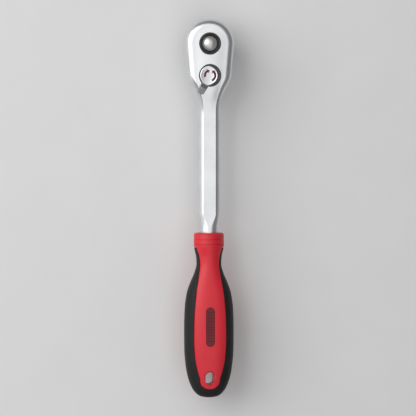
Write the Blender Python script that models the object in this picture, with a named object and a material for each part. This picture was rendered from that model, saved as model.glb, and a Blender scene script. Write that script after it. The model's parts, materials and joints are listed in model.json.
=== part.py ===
"""Half-inch drive reversible ratchet wrench, as an assembly of separate pieces.

Frame: the drive axis is the Z axis and the origin is the centre of the square drive's end face. The button
side is up (+Z), the toe of the head points along +Y and the handle runs along -Y. Every size is in metres.
"""

import math

import bmesh
import bpy
from mathutils import Matrix, Vector
from mathutils.geometry import convex_hull_2d

MM = 0.001

# Clearances
FIT = 0.15 * MM  # between two pieces that are fixed to each other
RUN = 0.15 * MM  # radial play of a piece that turns or slides
PLAY = 0.2 * MM  # end play of a piece that turns or slides
OVERSHOOT = 2 * MM  # how far a cutter runs past the face that it enters by

# Head and shank
HEAD_RADIUS = 16.3 * MM  # round toe, centred on the drive axis
SELECTOR_DISTANCE = 21.1 * MM  # drive axis to selector axis
HEEL_RADIUS = 14.7 * MM
HEEL_DISTANCE = SELECTOR_DISTANCE - 2.1 * MM  # drive axis to the centre of the round heel
NECK_FILLET = 30 * MM  # hollow curve from the heel to the shank
HEAD_HEIGHT = 19.5 * MM
HEAD_EDGE = 4.2 * MM  # rolled top edge
HEAD_UNDER_EDGE = 1.2 * MM
CROWN = 0.7 * MM
SHANK_HALF_WIDTH = 7.15 * MM
SHANK_HALF_HEIGHT = 5.8 * MM
SHANK_BEVEL_WIDTH = 3.0 * MM
SHANK_BEVEL_DROP = 2.9 * MM
SHANK_ROWS = (70 * MM, 92 * MM)  # extra sections along the straight shank
SHANK_DROP = 10.2 * MM  # head's top to the middle of the shank
NECK_START = SELECTOR_DISTANCE + 5.9 * MM  # where the head's top begins to run down to the shank
UNDER_START = SELECTOR_DISTANCE + 11.9 * MM  # where its underside begins to run up, behind the cover
NECK_END = SELECTOR_DISTANCE + 25.9 * MM
TAPER_START = 112 * MM  # where the bevelled shank begins to turn round
TAPER_END = 123 * MM
ROUND_RADIUS = 6.4 * MM  # the shank where it enters the handle
ROUND_CORNER = 6.0 * MM
STEP_START = 127.8 * MM
STEP_END = 131 * MM  # where the shank has narrowed to the hidden tang
TANG_HALF_WIDTH = 4.8 * MM
TANG_HALF_HEIGHT = 3.8 * MM
TANG_CORNER = 1.6 * MM
TANG_END = 204 * MM
GEAR_ROOM = 0.35 * MM  # round the gear's teeth
BORE_CHAMFER = 1.2 * MM  # round the mouth of the drive bore

# Square drive, gear and hub
SQUARE = 12.7 * MM
SQUARE_CORNER = 1.3 * MM
SQUARE_LEAD = 0.9 * MM  # chamfer round the end
SQUARE_LENGTH = 15.5 * MM
HUB_RADIUS = 8.7 * MM
HUB_PROUD = 1.0 * MM  # how far the hub stands out of the cover
HUB_CHAMFER = 0.4 * MM
GEAR_TEETH = 72
GEAR_RADIUS = 11.0 * MM
TOOTH_DEPTH = 0.6 * MM
TOOTH_TIP_SHARE = 0.2  # of the tooth pitch, at the tip
TOOTH_ROOT_SHARE = 0.76  # of the tooth pitch, at the root
GEAR_HEIGHT = 10.0 * MM
JOURNAL_RADIUS = 7.0 * MM
JOURNAL_SUNK = 0.7 * MM  # below the head's top
DISH_RADIUS = 6.3 * MM
DISH_DEPTH = 1.3 * MM
WASHER_THICKNESS = 0.7 * MM
WASHER_MARGIN = 0.65 * MM  # inside the teeth's roots

# Quick release
BALL_RADIUS = 2.3 * MM
BALL_HEIGHT = 7.3 * MM  # above the square's end
BALL_PROUD = 1.2 * MM
BALL_TRAVEL = 1.25 * MM
BALL_MOUTH_RADIUS = 2.17 * MM  # the bore is closed in at its mouth to keep the ball
BALL_MOUTH_DEPTH = 0.7 * MM
BUTTON_TRAVEL = 2.8 * MM
BUTTON_RADIUS = 4.0 * MM
BUTTON_SKIRT = 0.5 * MM  # how much wider the skirt is
BUTTON_SKIRT_HEIGHT = 2.4 * MM
BUTTON_DOME = 1.3 * MM
BUTTON_PROUD = 0.9 * MM  # above the head's top
RING_WIDTH = 1.15 * MM
RING_THICKNESS = 0.7 * MM
RING_GAP = math.radians(28)
PIN_RADIUS = 2.65 * MM
PIN_STEM_RADIUS = 1.6 * MM
PIN_GROOVE_RADIUS = 1.5 * MM
PIN_GROOVE_HALF = 0.5 * MM  # half the length of the groove's bottom
PIN_UPPER_RAMP = 2.2 * MM
PIN_LAND = 2.0 * MM  # above the groove
PIN_LAND_TAPER = 0.8 * MM
PIN_TIP = 1.7 * MM  # below the ball's centre
PIN_TIP_CHAMFER = 0.5 * MM
PIN_BORE_FLOOR = 2.4 * MM
PIN_BORE_POINT = 0.6 * MM  # depth of the drill's point below it
SPRING_POCKET = 4.4 * MM  # under the button's skirt
RELEASE_WIRE = 0.3 * MM  # wire radius
RELEASE_TURNS = 4

# Pawl and selector
PAWL_PIVOT_DISTANCE = 13.5 * MM  # drive axis to pawl pin
PAWL_PIN_RADIUS = 1.2 * MM
PAWL_PIN_SUNK = 1.6 * MM  # in the head, above the roof
COVER_SKIN = 0.3 * MM  # how far the pin's and the stem's ends stay inside the cover's face
PAWL_SWING = math.radians(9.5)  # from one side to the other
PAWL_TEETH = 3  # on each side
PAWL_TOOTH_FROM = 4  # tooth spaces between the centre line and the first pawl tooth
PAWL_TOOTH_TIP_SHARE = 0.2  # of the tooth pitch, at the tip
PAWL_TOOTH_ROOT_SHARE = 0.62  # of the tooth pitch, at the root
PAWL_GAP = 0.2 * MM  # between meshed teeth
PAWL_FRONT_GAP = 0.75 * MM  # between the gear and the pawl's middle
PAWL_BACK_RADIUS = 5.7 * MM  # hollow back, centred on the selector axis
PAWL_ARM = 2.9 * MM
POCKET_ROOM = 0.6 * MM  # round the pawl
SELECTOR_SWING = math.radians(60)
STEM_RADIUS = 3.9 * MM
STEM_NECK_RADIUS = 3.4 * MM
STEM_FOOT_RADIUS = 2.4 * MM
STEM_SQUARE = 3.6 * MM
STEM_SQUARE_CORNER = 0.3 * MM
PLUNGER_BORE_PAST = 1.8 * MM  # how far the plunger's bore runs past the selector axis
STEM_COVERED = 0.8 * MM  # thickness of the disc over the square
DISC_RADIUS = 6.7 * MM
DISC_POCKET_RADIUS = 7.4 * MM
DISC_THICKNESS = 2.5 * MM
DISC_PROUD = 0.4 * MM
DISC_CHAMFER = 0.5 * MM
DISC_RELIEF_RADIUS = 6.2 * MM  # the disc's free side is cut back to this rounder
DISC_RELIEF = 1.6 * MM  # how much is cut off at most
TAB_REACH = 13.6 * MM
TAB_WIDTH = 5.0 * MM
TAB_RISE = 1.9 * MM  # above the disc
TAB_SUNK = 1.0 * MM  # below the head's top
TAB_ROOT = 4.69 * MM  # where it starts inside the disc, from the selector axis
TAB_CREST = 2.6 * MM  # length of the crest with its rounded nose
TAB_NOSE = 0.9 * MM
TAB_TOE = 0.8 * MM
TAB_HEEL = (1.5 * MM, 0.5 * MM)  # start of the climb: outside the disc, above it
TAB_TRIM = 0.45 * MM  # chamfer along its sides
TAB_NARROWING = 0.86  # width at the end as a share of the width at the disc
TAB_RUN_OUT = 8 * MM  # how far the recess for it runs past its end
PLUNGER_RADIUS = 1.55 * MM
PLUNGER_REACH = 5.6 * MM  # from the selector axis
PLUNGER_LENGTH = 3.7 * MM
PLUNGER_TRAVEL = 0.9 * MM
PLUNGER_WIRE = 0.2 * MM  # wire radius
PLUNGER_TURNS = 4

# Cover, screws and seals
COVER_THICKNESS = 2.0 * MM
COVER_RIM = 2.4 * MM  # head wall left outside the cover
COVER_HEEL_RADIUS = 10.9 * MM
SCREW_RADIUS = 1.2 * MM
SCREW_HEAD_RADIUS = 2.1 * MM
SCREW_LENGTH = 7.0 * MM
SCREW_SUNK = 0.1 * MM  # inside the cover's face
SCREW_POINT = 0.4 * MM
SCREW_HOLE_ROOM = 0.8 * MM  # past the screw's end
SCREW_KEY = 1.5 * MM  # across the flats of the hexagon socket
SCREW_KEY_DEPTH = 0.9 * MM
SCREW_ASIDE = 8.6 * MM  # the two front screws, either side of the centre line
SCREW_AHEAD = 2.6 * MM  # and ahead of the selector axis
SCREW_BEHIND = 8.2 * MM  # the third, behind the selector axis
SEAL_WIRE = 0.5 * MM
NECK_SEAL_WIRE = 0.32 * MM
NECK_SEAL_EASE = 0.02 * MM  # clear of the bore

# Handle: distance behind the drive axis, half width, half height
HANDLE_STATIONS = [
    (124.9 * MM, 9.2 * MM, 9.2 * MM),
    (125.9 * MM, 9.9 * MM, 9.9 * MM),
    (133.0 * MM, 10.0 * MM, 10.0 * MM),
    (136.5 * MM, 9.4 * MM, 9.5 * MM),
    (140.5 * MM, 8.5 * MM, 8.8 * MM),
    (145.5 * MM, 8.2 * MM, 8.6 * MM),
    (151.0 * MM, 9.5 * MM, 9.3 * MM),
    (157.5 * MM, 12.2 * MM, 10.5 * MM),
    (165.0 * MM, 14.7 * MM, 11.6 * MM),
    (175.0 * MM, 16.0 * MM, 12.3 * MM),
    (188.0 * MM, 16.4 * MM, 12.6 * MM),
    (201.0 * MM, 16.3 * MM, 12.2 * MM),
    (212.0 * MM, 15.5 * MM, 11.3 * MM),
    (221.0 * MM, 13.8 * MM, 10.1 * MM),
    (228.0 * MM, 11.0 * MM, 8.6 * MM),
    (231.7 * MM, 8.0 * MM, 6.9 * MM),
    (233.2 * MM, 5.4 * MM, 5.2 * MM),
    (233.7 * MM, 2.8 * MM, 3.2 * MM),
]
COLLAR_END = 134.6 * MM
GRIP_FULLNESS = 2.45  # of the section behind the collar: 2 is an ellipse, more is squarer
GRIP_FULLNESS_RUN = 30 * MM  # distance behind the collar over which it is reached
HANDLE_REACH = 20 * MM  # up and down from the shank's middle, past the handle everywhere
CORE_OVERWIDTH = 3 * MM  # past the collar's side
# The core's plan outline behind the collar: distance behind the drive axis, half width
CORE_STATIONS = [
    (134.6 * MM, 8.4 * MM),
    (139.5 * MM, 6.9 * MM),
    (145.5 * MM, 6.2 * MM),
    (154.0 * MM, 7.3 * MM),
    (164.0 * MM, 8.9 * MM),
    (180.0 * MM, 10.3 * MM),
    (194.0 * MM, 10.6 * MM),
    (207.0 * MM, 9.9 * MM),
    (216.0 * MM, 8.2 * MM),
    (222.0 * MM, 6.6 * MM),
]
CORE_NOSE_RADIUS = 6.0 * MM
HANG_HOLE_DISTANCE = 221.0 * MM
HANG_HOLE_HALF_WIDTH = 3.0 * MM
HANG_HOLE_LENGTH = 8.6 * MM
INLAY_DISTANCE = 186.6 * MM
INLAY_LENGTH = 25.8 * MM
INLAY_WIDTH = 5.6 * MM
INLAY_DEPTH = 0.9 * MM

# Facets
COARSE, MEDIUM, FINE = 16, 28, 44
WRAP = 32  # points round the handle
EDGE_STEPS = 5  # from the forging's side to its top

# Heights that follow from the sizes above
HEAD_BOTTOM = SQUARE_LENGTH + HUB_PROUD
HEAD_TOP = HEAD_BOTTOM + HEAD_HEIGHT
SHANK_MIDDLE = HEAD_TOP - SHANK_DROP
COVER_TOP = HEAD_BOTTOM + COVER_THICKNESS
SEAT = COVER_TOP + FIT
GEAR_BOTTOM = COVER_TOP + PLAY
GEAR_TOP = GEAR_BOTTOM + GEAR_HEIGHT
ROOF = GEAR_TOP + WASHER_THICKNESS + 2 * PLAY
JOURNAL_TOP = HEAD_TOP - JOURNAL_SUNK
DISH_FLOOR = JOURNAL_TOP - DISH_DEPTH
BUTTON_TOP = HEAD_TOP + BUTTON_PROUD
RING_TOP = DISH_FLOOR - PLAY
RING_BOTTOM = RING_TOP - RING_THICKNESS
SKIRT_TOP = RING_BOTTOM - PLAY
SKIRT_BOTTOM = SKIRT_TOP - BUTTON_SKIRT_HEIGHT
SPRING_FLOOR = SKIRT_BOTTOM - SPRING_POCKET
SKIRT_RADIUS = BUTTON_RADIUS + BUTTON_SKIRT
BUTTON_BORE_RADIUS = SKIRT_RADIUS + PLAY
PIN_BORE_RADIUS = PIN_RADIUS + RUN
RING_INNER = BUTTON_RADIUS + PLAY
RING_OUTER = RING_INNER + RING_WIDTH
BALL_CENTRE = SQUARE / 2 + BALL_PROUD - BALL_RADIUS
DISC_TOP = HEAD_TOP + DISC_PROUD
DISC_BOTTOM = DISC_TOP - DISC_THICKNESS
PAWL_PIN_TOP = ROOF + PAWL_PIN_SUNK
STEM_TOP = ROOF - PLAY
STEM_BOTTOM = COVER_TOP + PLAY
PLUNGER_HEIGHT = (STEM_TOP + STEM_BOTTOM) / 2
SELECTOR_AXIS = Vector((0, -SELECTOR_DISTANCE, 0))
PAWL_AXIS = Vector((0, -PAWL_PIVOT_DISTANCE, 0))
TAB_ANGLE = math.radians(270) - SELECTOR_SWING / 2  # at rest, from the X axis
PLUNGER_ANGLE = TAB_ANGLE + math.pi - math.tau
SCREW_PLACES = [
    (SCREW_ASIDE, SCREW_AHEAD - SELECTOR_DISTANCE),
    (-SCREW_ASIDE, SCREW_AHEAD - SELECTOR_DISTANCE),
    (0.0, -SCREW_BEHIND - SELECTOR_DISTANCE),
]
TOOTH_PITCH = math.tau / GEAR_TEETH

FINISHES = {
    "satin_chrome": ((0.78, 0.79, 0.80), 0.24, 1.0),
    "dark_steel": ((0.055, 0.055, 0.06), 0.38, 0.9),
    "bright_steel": ((0.62, 0.62, 0.64), 0.3, 1.0),
    "spring_steel": ((0.36, 0.36, 0.38), 0.35, 1.0),
    "red_plastic": ((0.60, 0.020, 0.035), 0.38, 0.0),
    "black_rubber": ((0.016, 0.016, 0.018), 0.62, 0.0),
    "dark_plastic": ((0.05, 0.012, 0.016), 0.5, 0.0),
    "seal_rubber": ((0.02, 0.02, 0.02), 0.7, 0.0),
}


# Small geometry helpers


def arc(centre, radius, start, end, steps):
    """Points along an arc, both ends included. Angles are from the X axis."""
    turns = [start + (end - start) * i / steps for i in range(steps + 1)]
    return [(centre[0] + radius * math.cos(t), centre[1] + radius * math.sin(t)) for t in turns]


def smooth(t):
    """0 up to t = 0, 1 from t = 1, with an easy start and end."""
    t = min(1.0, max(0.0, t))
    return t * t * (3 - 2 * t)


def mix(a, b, t):
    return a + (b - a) * t


def mirrored(half):
    """A closed outline from its right half, whose end points are put exactly on the centre line."""
    ends = [(0.0, half[0][1])], [(0.0, half[-1][1])]
    return ends[0] + half[1:-1] + ends[1] + [(-x, y) for x, y in reversed(half[1:-1])]


def turned_about(points, centre, angle):
    """Plan points turned about a centre."""
    c, s = math.cos(angle), math.sin(angle)
    moved = []
    for x, y in points:
        dx, dy = x - centre[0], y - centre[1]
        moved.append((centre[0] + dx * c - dy * s, centre[1] + dx * s + dy * c))
    return moved


def stadium(half_width, length, centre_y, steps=8):
    """A slot outline along Y with round ends."""
    reach = length / 2 - half_width
    top = arc((0, centre_y + reach), half_width, 0, math.pi, steps)
    return top + arc((0, centre_y - reach), half_width, math.pi, math.tau, steps)


def along(stations, distance):
    """Smooth values between stations, each (distance, value, ...): a cubic that never overshoots them."""
    last = len(stations) - 1
    i = next((k for k in range(last) if distance <= stations[k + 1][0]), last - 1)
    x0, x1 = stations[i][0], stations[i + 1][0]
    t = min(1.0, max(0.0, (distance - x0) / (x1 - x0)))

    def slope(k, column):
        if k in (0, last):
            return 0.0
        before, here, after = stations[k - 1], stations[k], stations[k + 1]
        left = (here[column] - before[column]) / (here[0] - before[0])
        right = (after[column] - here[column]) / (after[0] - here[0])
        return 0.0 if left * right <= 0 else 2 * left * right / (left + right)

    values = []
    for column in range(1, len(stations[0])):
        y0, y1 = stations[i][column], stations[i + 1][column]
        m0, m1 = slope(i, column) * (x1 - x0), slope(i + 1, column) * (x1 - x0)
        values.append(
            y0 * (1 + 2 * t) * (1 - t) ** 2 + m0 * t * (1 - t) ** 2
            + y1 * t * t * (3 - 2 * t) + m1 * t * t * (t - 1)
        )
    return values


# Solids, each returned as a bmesh


def prism(outline, low, high):
    """An outline in plan, extruded from one height to another."""
    bm = bmesh.new()
    face = bm.faces.new([bm.verts.new((x, y, low)) for x, y in outline])
    grown = bmesh.ops.extrude_face_region(bm, geom=[face])["geom"]
    moved = [v for v in grown if isinstance(v, bmesh.types.BMVert)]
    bmesh.ops.translate(bm, verts=moved, vec=(0, 0, high - low))
    return bm


def turned(profile, segments, closed=False):
    """A profile of (radius, height) points, spun about Z. It is closed, or starts and ends on the axis."""
    bm = bmesh.new()
    verts = [bm.verts.new((r, 0, z)) for r, z in profile]
    pairs = list(zip(verts, verts[1:]))
    if closed:
        pairs.append((verts[-1], verts[0]))
    edges = [bm.edges.new(pair) for pair in pairs]
    bmesh.ops.spin(
        bm, geom=verts + edges, axis=(0, 0, 1), cent=(0, 0, 0), angle=math.tau, steps=segments, use_merge=True
    )
    bmesh.ops.remove_doubles(bm, verts=bm.verts, dist=1e-7)
    return bm


def rod(radius, low, high, segments):
    """A plain cylinder along Z."""
    return turned([(0, low), (radius, low), (radius, high), (0, high)], segments)


def loft(rings):
    """A skin over closed rings of equally many points, with flat ends."""
    bm = bmesh.new()
    loops = [[bm.verts.new(p) for p in ring] for ring in rings]
    count = len(loops[0])
    for low, high in zip(loops, loops[1:]):
        for i in range(count):
            j = (i + 1) % count
            bm.faces.new((low[i], low[j], high[j], high[i]))
    bm.faces.new(loops[0])
    bm.faces.new(loops[-1])
    return bm


def torus(ring_radius, wire_radius, height, segments, sides):
    """A round seal ring lying flat."""
    profile = arc((ring_radius, height), wire_radius, 0, math.tau, sides)[:-1]
    return turned(profile, segments, closed=True)


def coil(radius, wire_radius, turns, length, per_turn, sides):
    """A compression spring along Z from height 0, its end turns closed up against the seats."""
    count = turns * per_turn
    rise = length - 2 * wire_radius
    rings = []
    for i in range(count + 1):
        t = i / count
        angle = math.tau * turns * t
        eased = smooth(t) * 0.5 + t * 0.5
        centre = Vector((radius * math.cos(angle), radius * math.sin(angle), wire_radius + rise * eased))
        outward = Vector((math.cos(angle), math.sin(angle), 0))
        ring = []
        for k in range(sides):
            a = math.tau * k / sides
            upward = Vector((0, 0, wire_radius * math.sin(a)))
            ring.append(centre + outward * (wire_radius * math.cos(a)) + upward)
        rings.append(ring)
    return loft(rings)


# Objects


def clear_scene():
    for obj in list(bpy.data.objects):
        bpy.data.objects.remove(obj, do_unlink=True)


def finish(name):
    """The named material, made once."""
    found = bpy.data.materials.get(name)
    if found:
        return found
    colour, roughness, metallic = FINISHES[name]
    made = bpy.data.materials.new(name)
    made.use_nodes = True
    shader = made.node_tree.nodes["Principled BSDF"]
    shader.inputs["Base Color"].default_value = (*colour, 1)
    shader.inputs["Roughness"].default_value = roughness
    shader.inputs["Metallic"].default_value = metallic
    return made


def add(name, bm, look=None, at=(0, 0, 0), turn=None, sharp=35):
    """A bmesh as a named object. Turn is a rotation matrix or None."""
    bmesh.ops.recalc_face_normals(bm, faces=bm.faces)
    mesh = bpy.data.meshes.new(name)
    bm.to_mesh(mesh)
    bm.free()
    mesh.shade_smooth()
    mesh.set_sharp_from_angle(angle=math.radians(sharp))
    obj = bpy.data.objects.new(name, mesh)
    bpy.context.scene.collection.objects.link(obj)
    obj.matrix_world = Matrix.Translation(at) @ (turn or Matrix.Identity(4))
    if look:
        mesh.materials.append(finish(look))
    return obj


def apply_helper(obj, helper, operation):
    """Joins a helper object to an object or cuts it away, and hides the helper."""
    helper.hide_render = True
    helper.display_type = "WIRE"
    modifier = obj.modifiers.new(helper.name, "BOOLEAN")
    modifier.operation = operation
    modifier.object = helper
    modifier.solver = "EXACT"


def combine(obj, name, bm, operation, at=(0, 0, 0), turn=None):
    """Joins a bmesh to an object, cuts it away or keeps what both share."""
    apply_helper(obj, add(name, bm, at=at, turn=turn), operation)


def cut(obj, name, bm, at=(0, 0, 0), turn=None):
    combine(obj, name, bm, "DIFFERENCE", at, turn)


def join(obj, name, bm, at=(0, 0, 0), turn=None):
    combine(obj, name, bm, "UNION", at, turn)


def spun(angle):
    return Matrix.Rotation(angle, 4, "Z")


def laid_towards(angle):
    """Turns a piece made along +Z so that it lies along the plan direction of that angle."""
    return Matrix.Rotation(angle, 4, "Z") @ Matrix.Rotation(math.pi / 2, 4, "Y")


# Plan outlines of the head and its cover


def side_angle(toe_radius, heel_radius, distance):
    """The plan angle at which a straight side leaves the toe circle and meets the heel circle."""
    return -math.asin((toe_radius - heel_radius) / distance)


def head_half_outline():
    """Right side of the head and shank in plan, from the toe to the end of the tang: (x, y) points."""
    side = side_angle(HEAD_RADIUS, HEEL_RADIUS, HEEL_DISTANCE)
    hollow_x = SHANK_HALF_WIDTH + NECK_FILLET
    fall = math.sqrt((HEEL_RADIUS + NECK_FILLET) ** 2 - hollow_x**2)
    hollow_y = -HEEL_DISTANCE - fall
    meet = -math.atan2(fall, hollow_x)
    points = arc((0, 0), HEAD_RADIUS, math.pi / 2, side, 13)
    points += arc((0, -HEEL_DISTANCE), HEEL_RADIUS, side, meet, 4)
    points += arc((hollow_x, hollow_y), NECK_FILLET, math.pi + meet, math.pi, 6)[1:]
    for distance in SHANK_ROWS:
        points.append((SHANK_HALF_WIDTH, -distance))
    for i in range(5):
        t = i / 4
        width = mix(SHANK_HALF_WIDTH, ROUND_RADIUS, smooth(t))
        points.append((width, -mix(TAPER_START, TAPER_END, t)))
    points.append((ROUND_RADIUS, -STEP_START))
    points.append((TANG_HALF_WIDTH, -STEP_END))
    points.append((TANG_HALF_WIDTH, -TANG_END))
    return points


def pear(toe_radius, heel_radius, steps=20):
    """A closed outline round the drive axis and the selector axis."""
    side = side_angle(toe_radius, heel_radius, SELECTOR_DISTANCE)
    half = arc((0, 0), toe_radius, math.pi / 2, side, steps // 2)
    half += arc(SELECTOR_AXIS, heel_radius, side, -math.pi / 2, steps // 2)
    return mirrored(half)


# Head and shank


def edge_profile(distance):
    """Right edge of the forging at a distance behind the drive axis: (inset, height) from bottom to top."""
    to_shank = smooth((distance - NECK_START) / (NECK_END - NECK_START))
    under_to_shank = smooth((distance - UNDER_START) / (NECK_END - UNDER_START))
    to_round = smooth((distance - TAPER_START) / (TAPER_END - TAPER_START))
    to_tang = smooth((distance - STEP_START) / (STEP_END - STEP_START))
    half = mix(mix(SHANK_HALF_HEIGHT, ROUND_RADIUS, to_round), TANG_HALF_HEIGHT, to_tang)
    top = mix(HEAD_TOP - CROWN, SHANK_MIDDLE + half, to_shank)
    bottom = mix(HEAD_BOTTOM, SHANK_MIDDLE - half, under_to_shank)
    round_to = mix(ROUND_CORNER, TANG_CORNER, to_tang)
    section = []
    for i in range(EDGE_STEPS + 1):
        a = math.pi / 2 * i / EDGE_STEPS
        out, drop = 1 - math.cos(a), 1 - math.sin(a)
        bevel_out = SHANK_BEVEL_WIDTH * (i / EDGE_STEPS) ** 1.25
        bevel_drop = SHANK_BEVEL_DROP * (1 - (i / EDGE_STEPS) ** 0.85)
        inset = mix(mix(HEAD_EDGE * out, bevel_out, to_shank), round_to * out, to_round)
        fall = mix(mix(HEAD_EDGE * drop, bevel_drop, to_shank), round_to * drop, to_round)
        lower_inset = mix(mix(HEAD_UNDER_EDGE * out, bevel_out, under_to_shank), round_to * out, to_round)
        lower_fall = mix(mix(HEAD_UNDER_EDGE * drop, bevel_drop, under_to_shank), round_to * drop, to_round)
        section.append(((inset, top - fall), (lower_inset, bottom + lower_fall)))
    return [low for _, low in reversed(section)] + [high for high, _ in section]


def outline_normals(points):
    """Outward normals of the half outline: ahead at the toe, straight out along the shank and tang."""
    normals = [Vector((0, 1))]
    for before, here, after in zip(points, points[1:], points[2:]):
        run = Vector(before) - Vector(after)
        straight = here[1] < -TAPER_START
        normals.append(Vector((1, 0)) if straight else Vector((run.y, -run.x)).normalized())
    normals.append(Vector((1, 0)))
    return normals


def forging():
    """Pear head, bevelled shank and the tang that the handle is moulded on, as one skin of quads."""
    points = head_half_outline()
    normals = outline_normals(points)
    bm = bmesh.new()
    columns = (-0.5, 0.0, 0.5)
    rights, lefts, tops, bottoms = [], [], [], []
    for i, ((x, y), normal) in enumerate(zip(points, normals)):
        section = edge_profile(-y)
        right = [(x - normal.x * inset, y - normal.y * inset, z) for inset, z in section]
        rights.append([bm.verts.new(p) for p in right])
        lefts.append(rights[-1] if i == 0 else [bm.verts.new((-p[0], p[1], p[2])) for p in right])
        for rows, edge, rise in ((tops, right[-1], CROWN), (bottoms, right[0], 0)):
            row = []
            for share in columns if i else ():
                px = edge[0] * share
                rim = math.hypot(px, max(edge[1], 0)) / math.hypot(edge[0], max(edge[1], 0))
                fade = 1 - smooth((-edge[1] - NECK_START) / (NECK_END - NECK_START))
                row.append(bm.verts.new((px, edge[1], edge[2] + rise * fade * (1 - rim**2))))
            rows.append(row)
    for i in range(len(points) - 1):
        for side in (rights, lefts):
            for k in range(len(side[0]) - 1):
                bm.faces.new((side[i][k], side[i + 1][k], side[i + 1][k + 1], side[i][k + 1]))
        for rows, k in ((tops, -1), (bottoms, 0)):
            here = [lefts[i][k], *rows[i], rights[i][k]] if i else [rights[0][k]]
            after = [lefts[i + 1][k], *rows[i + 1], rights[i + 1][k]]
            for j in range(len(after) - 1):
                if i:
                    bm.faces.new((here[j], here[j + 1], after[j + 1], after[j]))
                else:
                    bm.faces.new((here[0], after[j + 1], after[j]))
    bm.faces.new(rights[-1] + tops[-1][::-1] + lefts[-1][::-1] + bottoms[-1])
    return bm


def head_and_shank():
    """The forging with its chambers for the drive, the pawl and the selector, and its screw holes."""
    head = add("head_and_shank", forging(), "satin_chrome", sharp=28)
    cover_toe = HEAD_RADIUS - COVER_RIM + FIT
    recess = prism(pear(cover_toe, COVER_HEEL_RADIUS + FIT), HEAD_BOTTOM - OVERSHOOT, SEAT)
    cut(head, "cover_recess", recess)
    chamber = GEAR_RADIUS + GEAR_ROOM
    bore = JOURNAL_RADIUS + RUN
    profile = [
        (0, SEAT - OVERSHOOT),
        (chamber, SEAT - OVERSHOOT),
        (chamber, ROOF),
        (bore, ROOF),
        (bore, JOURNAL_TOP),
        (bore + BORE_CHAMFER, JOURNAL_TOP + BORE_CHAMFER),
        (bore + BORE_CHAMFER, HEAD_TOP + OVERSHOOT),
        (0, HEAD_TOP + OVERSHOOT),
    ]
    cut(head, "gear_chamber", turned(profile, FINE))
    cut(head, "pawl_pocket", prism(pawl_pocket_outline(), SEAT - OVERSHOOT, ROOF))
    neck = STEM_NECK_RADIUS + RUN
    room = PLUNGER_REACH + POCKET_ROOM
    profile = [
        (0, SEAT - OVERSHOOT),
        (room, SEAT - OVERSHOOT),
        (room, ROOF),
        (neck, ROOF),
        (neck, DISC_BOTTOM - PLAY),
        (DISC_POCKET_RADIUS, DISC_BOTTOM - PLAY),
        (DISC_POCKET_RADIUS, HEAD_TOP + OVERSHOOT),
        (0, HEAD_TOP + OVERSHOOT),
    ]
    cut(head, "selector_bore", turned(profile, MEDIUM), at=SELECTOR_AXIS)
    cut(head, "tab_recess", prism(tab_recess_outline(), HEAD_TOP - TAB_SUNK - PLAY, HEAD_TOP + OVERSHOOT))
    hole = rod(PAWL_PIN_RADIUS + FIT, ROOF - OVERSHOOT, PAWL_PIN_TOP + FIT, COARSE)
    cut(head, "pawl_pin_hole", hole, at=PAWL_AXIS)
    depth = HEAD_BOTTOM + SCREW_LENGTH + SCREW_HOLE_ROOM
    for number, (x, y) in enumerate(SCREW_PLACES, 1):
        hole = rod(SCREW_RADIUS + FIT, SEAT - OVERSHOOT, depth, COARSE)
        cut(head, f"screw_hole_{number}", hole, at=(x, y, 0))


def tab_recess_outline():
    """The shallow fan that the selector's tab swings in. Its straight sides are the tab's stops."""
    reach = TAB_REACH + TAB_RUN_OUT
    beside = TAB_WIDTH / 2 + 2 * PLAY
    lean = SELECTOR_SWING / 2
    down = math.radians(270)
    points = []
    for side in (-1, 1):
        along_tab = Vector((math.cos(down + side * lean), math.sin(down + side * lean)))
        outside = Vector((-along_tab.y, along_tab.x)) * side
        start = Vector(SELECTOR_AXIS.xy) + outside * beside
        points.append([start, start + along_tab * reach])
    (left_in, left_out), (right_in, right_out) = points
    return [tuple(left_in), tuple(left_out), tuple(right_out), tuple(right_in)]


def pawl_pocket_outline():
    """The room that the pawl rocks in: the hull of its two positions, grown all round."""
    pawl_outline = mirrored(pawl_half_outline())
    points = []
    for lean in (-PAWL_SWING / 2, PAWL_SWING / 2):
        for place in turned_about(pawl_outline, PAWL_AXIS, lean):
            away = (Vector(place) - PAWL_AXIS.xy).normalized()
            points.append(Vector(place) + away * POCKET_ROOM)
    return [tuple(points[i]) for i in convex_hull_2d(points)]


# Drive gear and quick release


def gear_outline():
    """Seventy-two small symmetrical teeth, with one tooth on the centre line towards the pawl."""
    points = []
    root = GEAR_RADIUS - TOOTH_DEPTH
    tip, foot = TOOTH_TIP_SHARE * TOOTH_PITCH / 2, TOOTH_ROOT_SHARE * TOOTH_PITCH / 2
    for tooth in range(GEAR_TEETH):
        middle = -math.pi / 2 + tooth * TOOTH_PITCH
        for radius, angle in ((root, -foot), (GEAR_RADIUS, -tip), (GEAR_RADIUS, tip), (root, foot)):
            points.append((radius * math.cos(middle + angle), radius * math.sin(middle + angle)))
    return points


def square_ring(half, corner, height, steps=3):
    """A square with rounded corners, as one ring of points at a height."""
    reach = half - corner
    ring = []
    for quarter in range(4):
        a = quarter * math.pi / 2
        sx = 1 if quarter in (0, 3) else -1
        sy = 1 if quarter in (0, 1) else -1
        ring += [(x, y, height) for x, y in arc((sx * reach, sy * reach), corner, a, a + math.pi / 2, steps)]
    return ring


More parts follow.
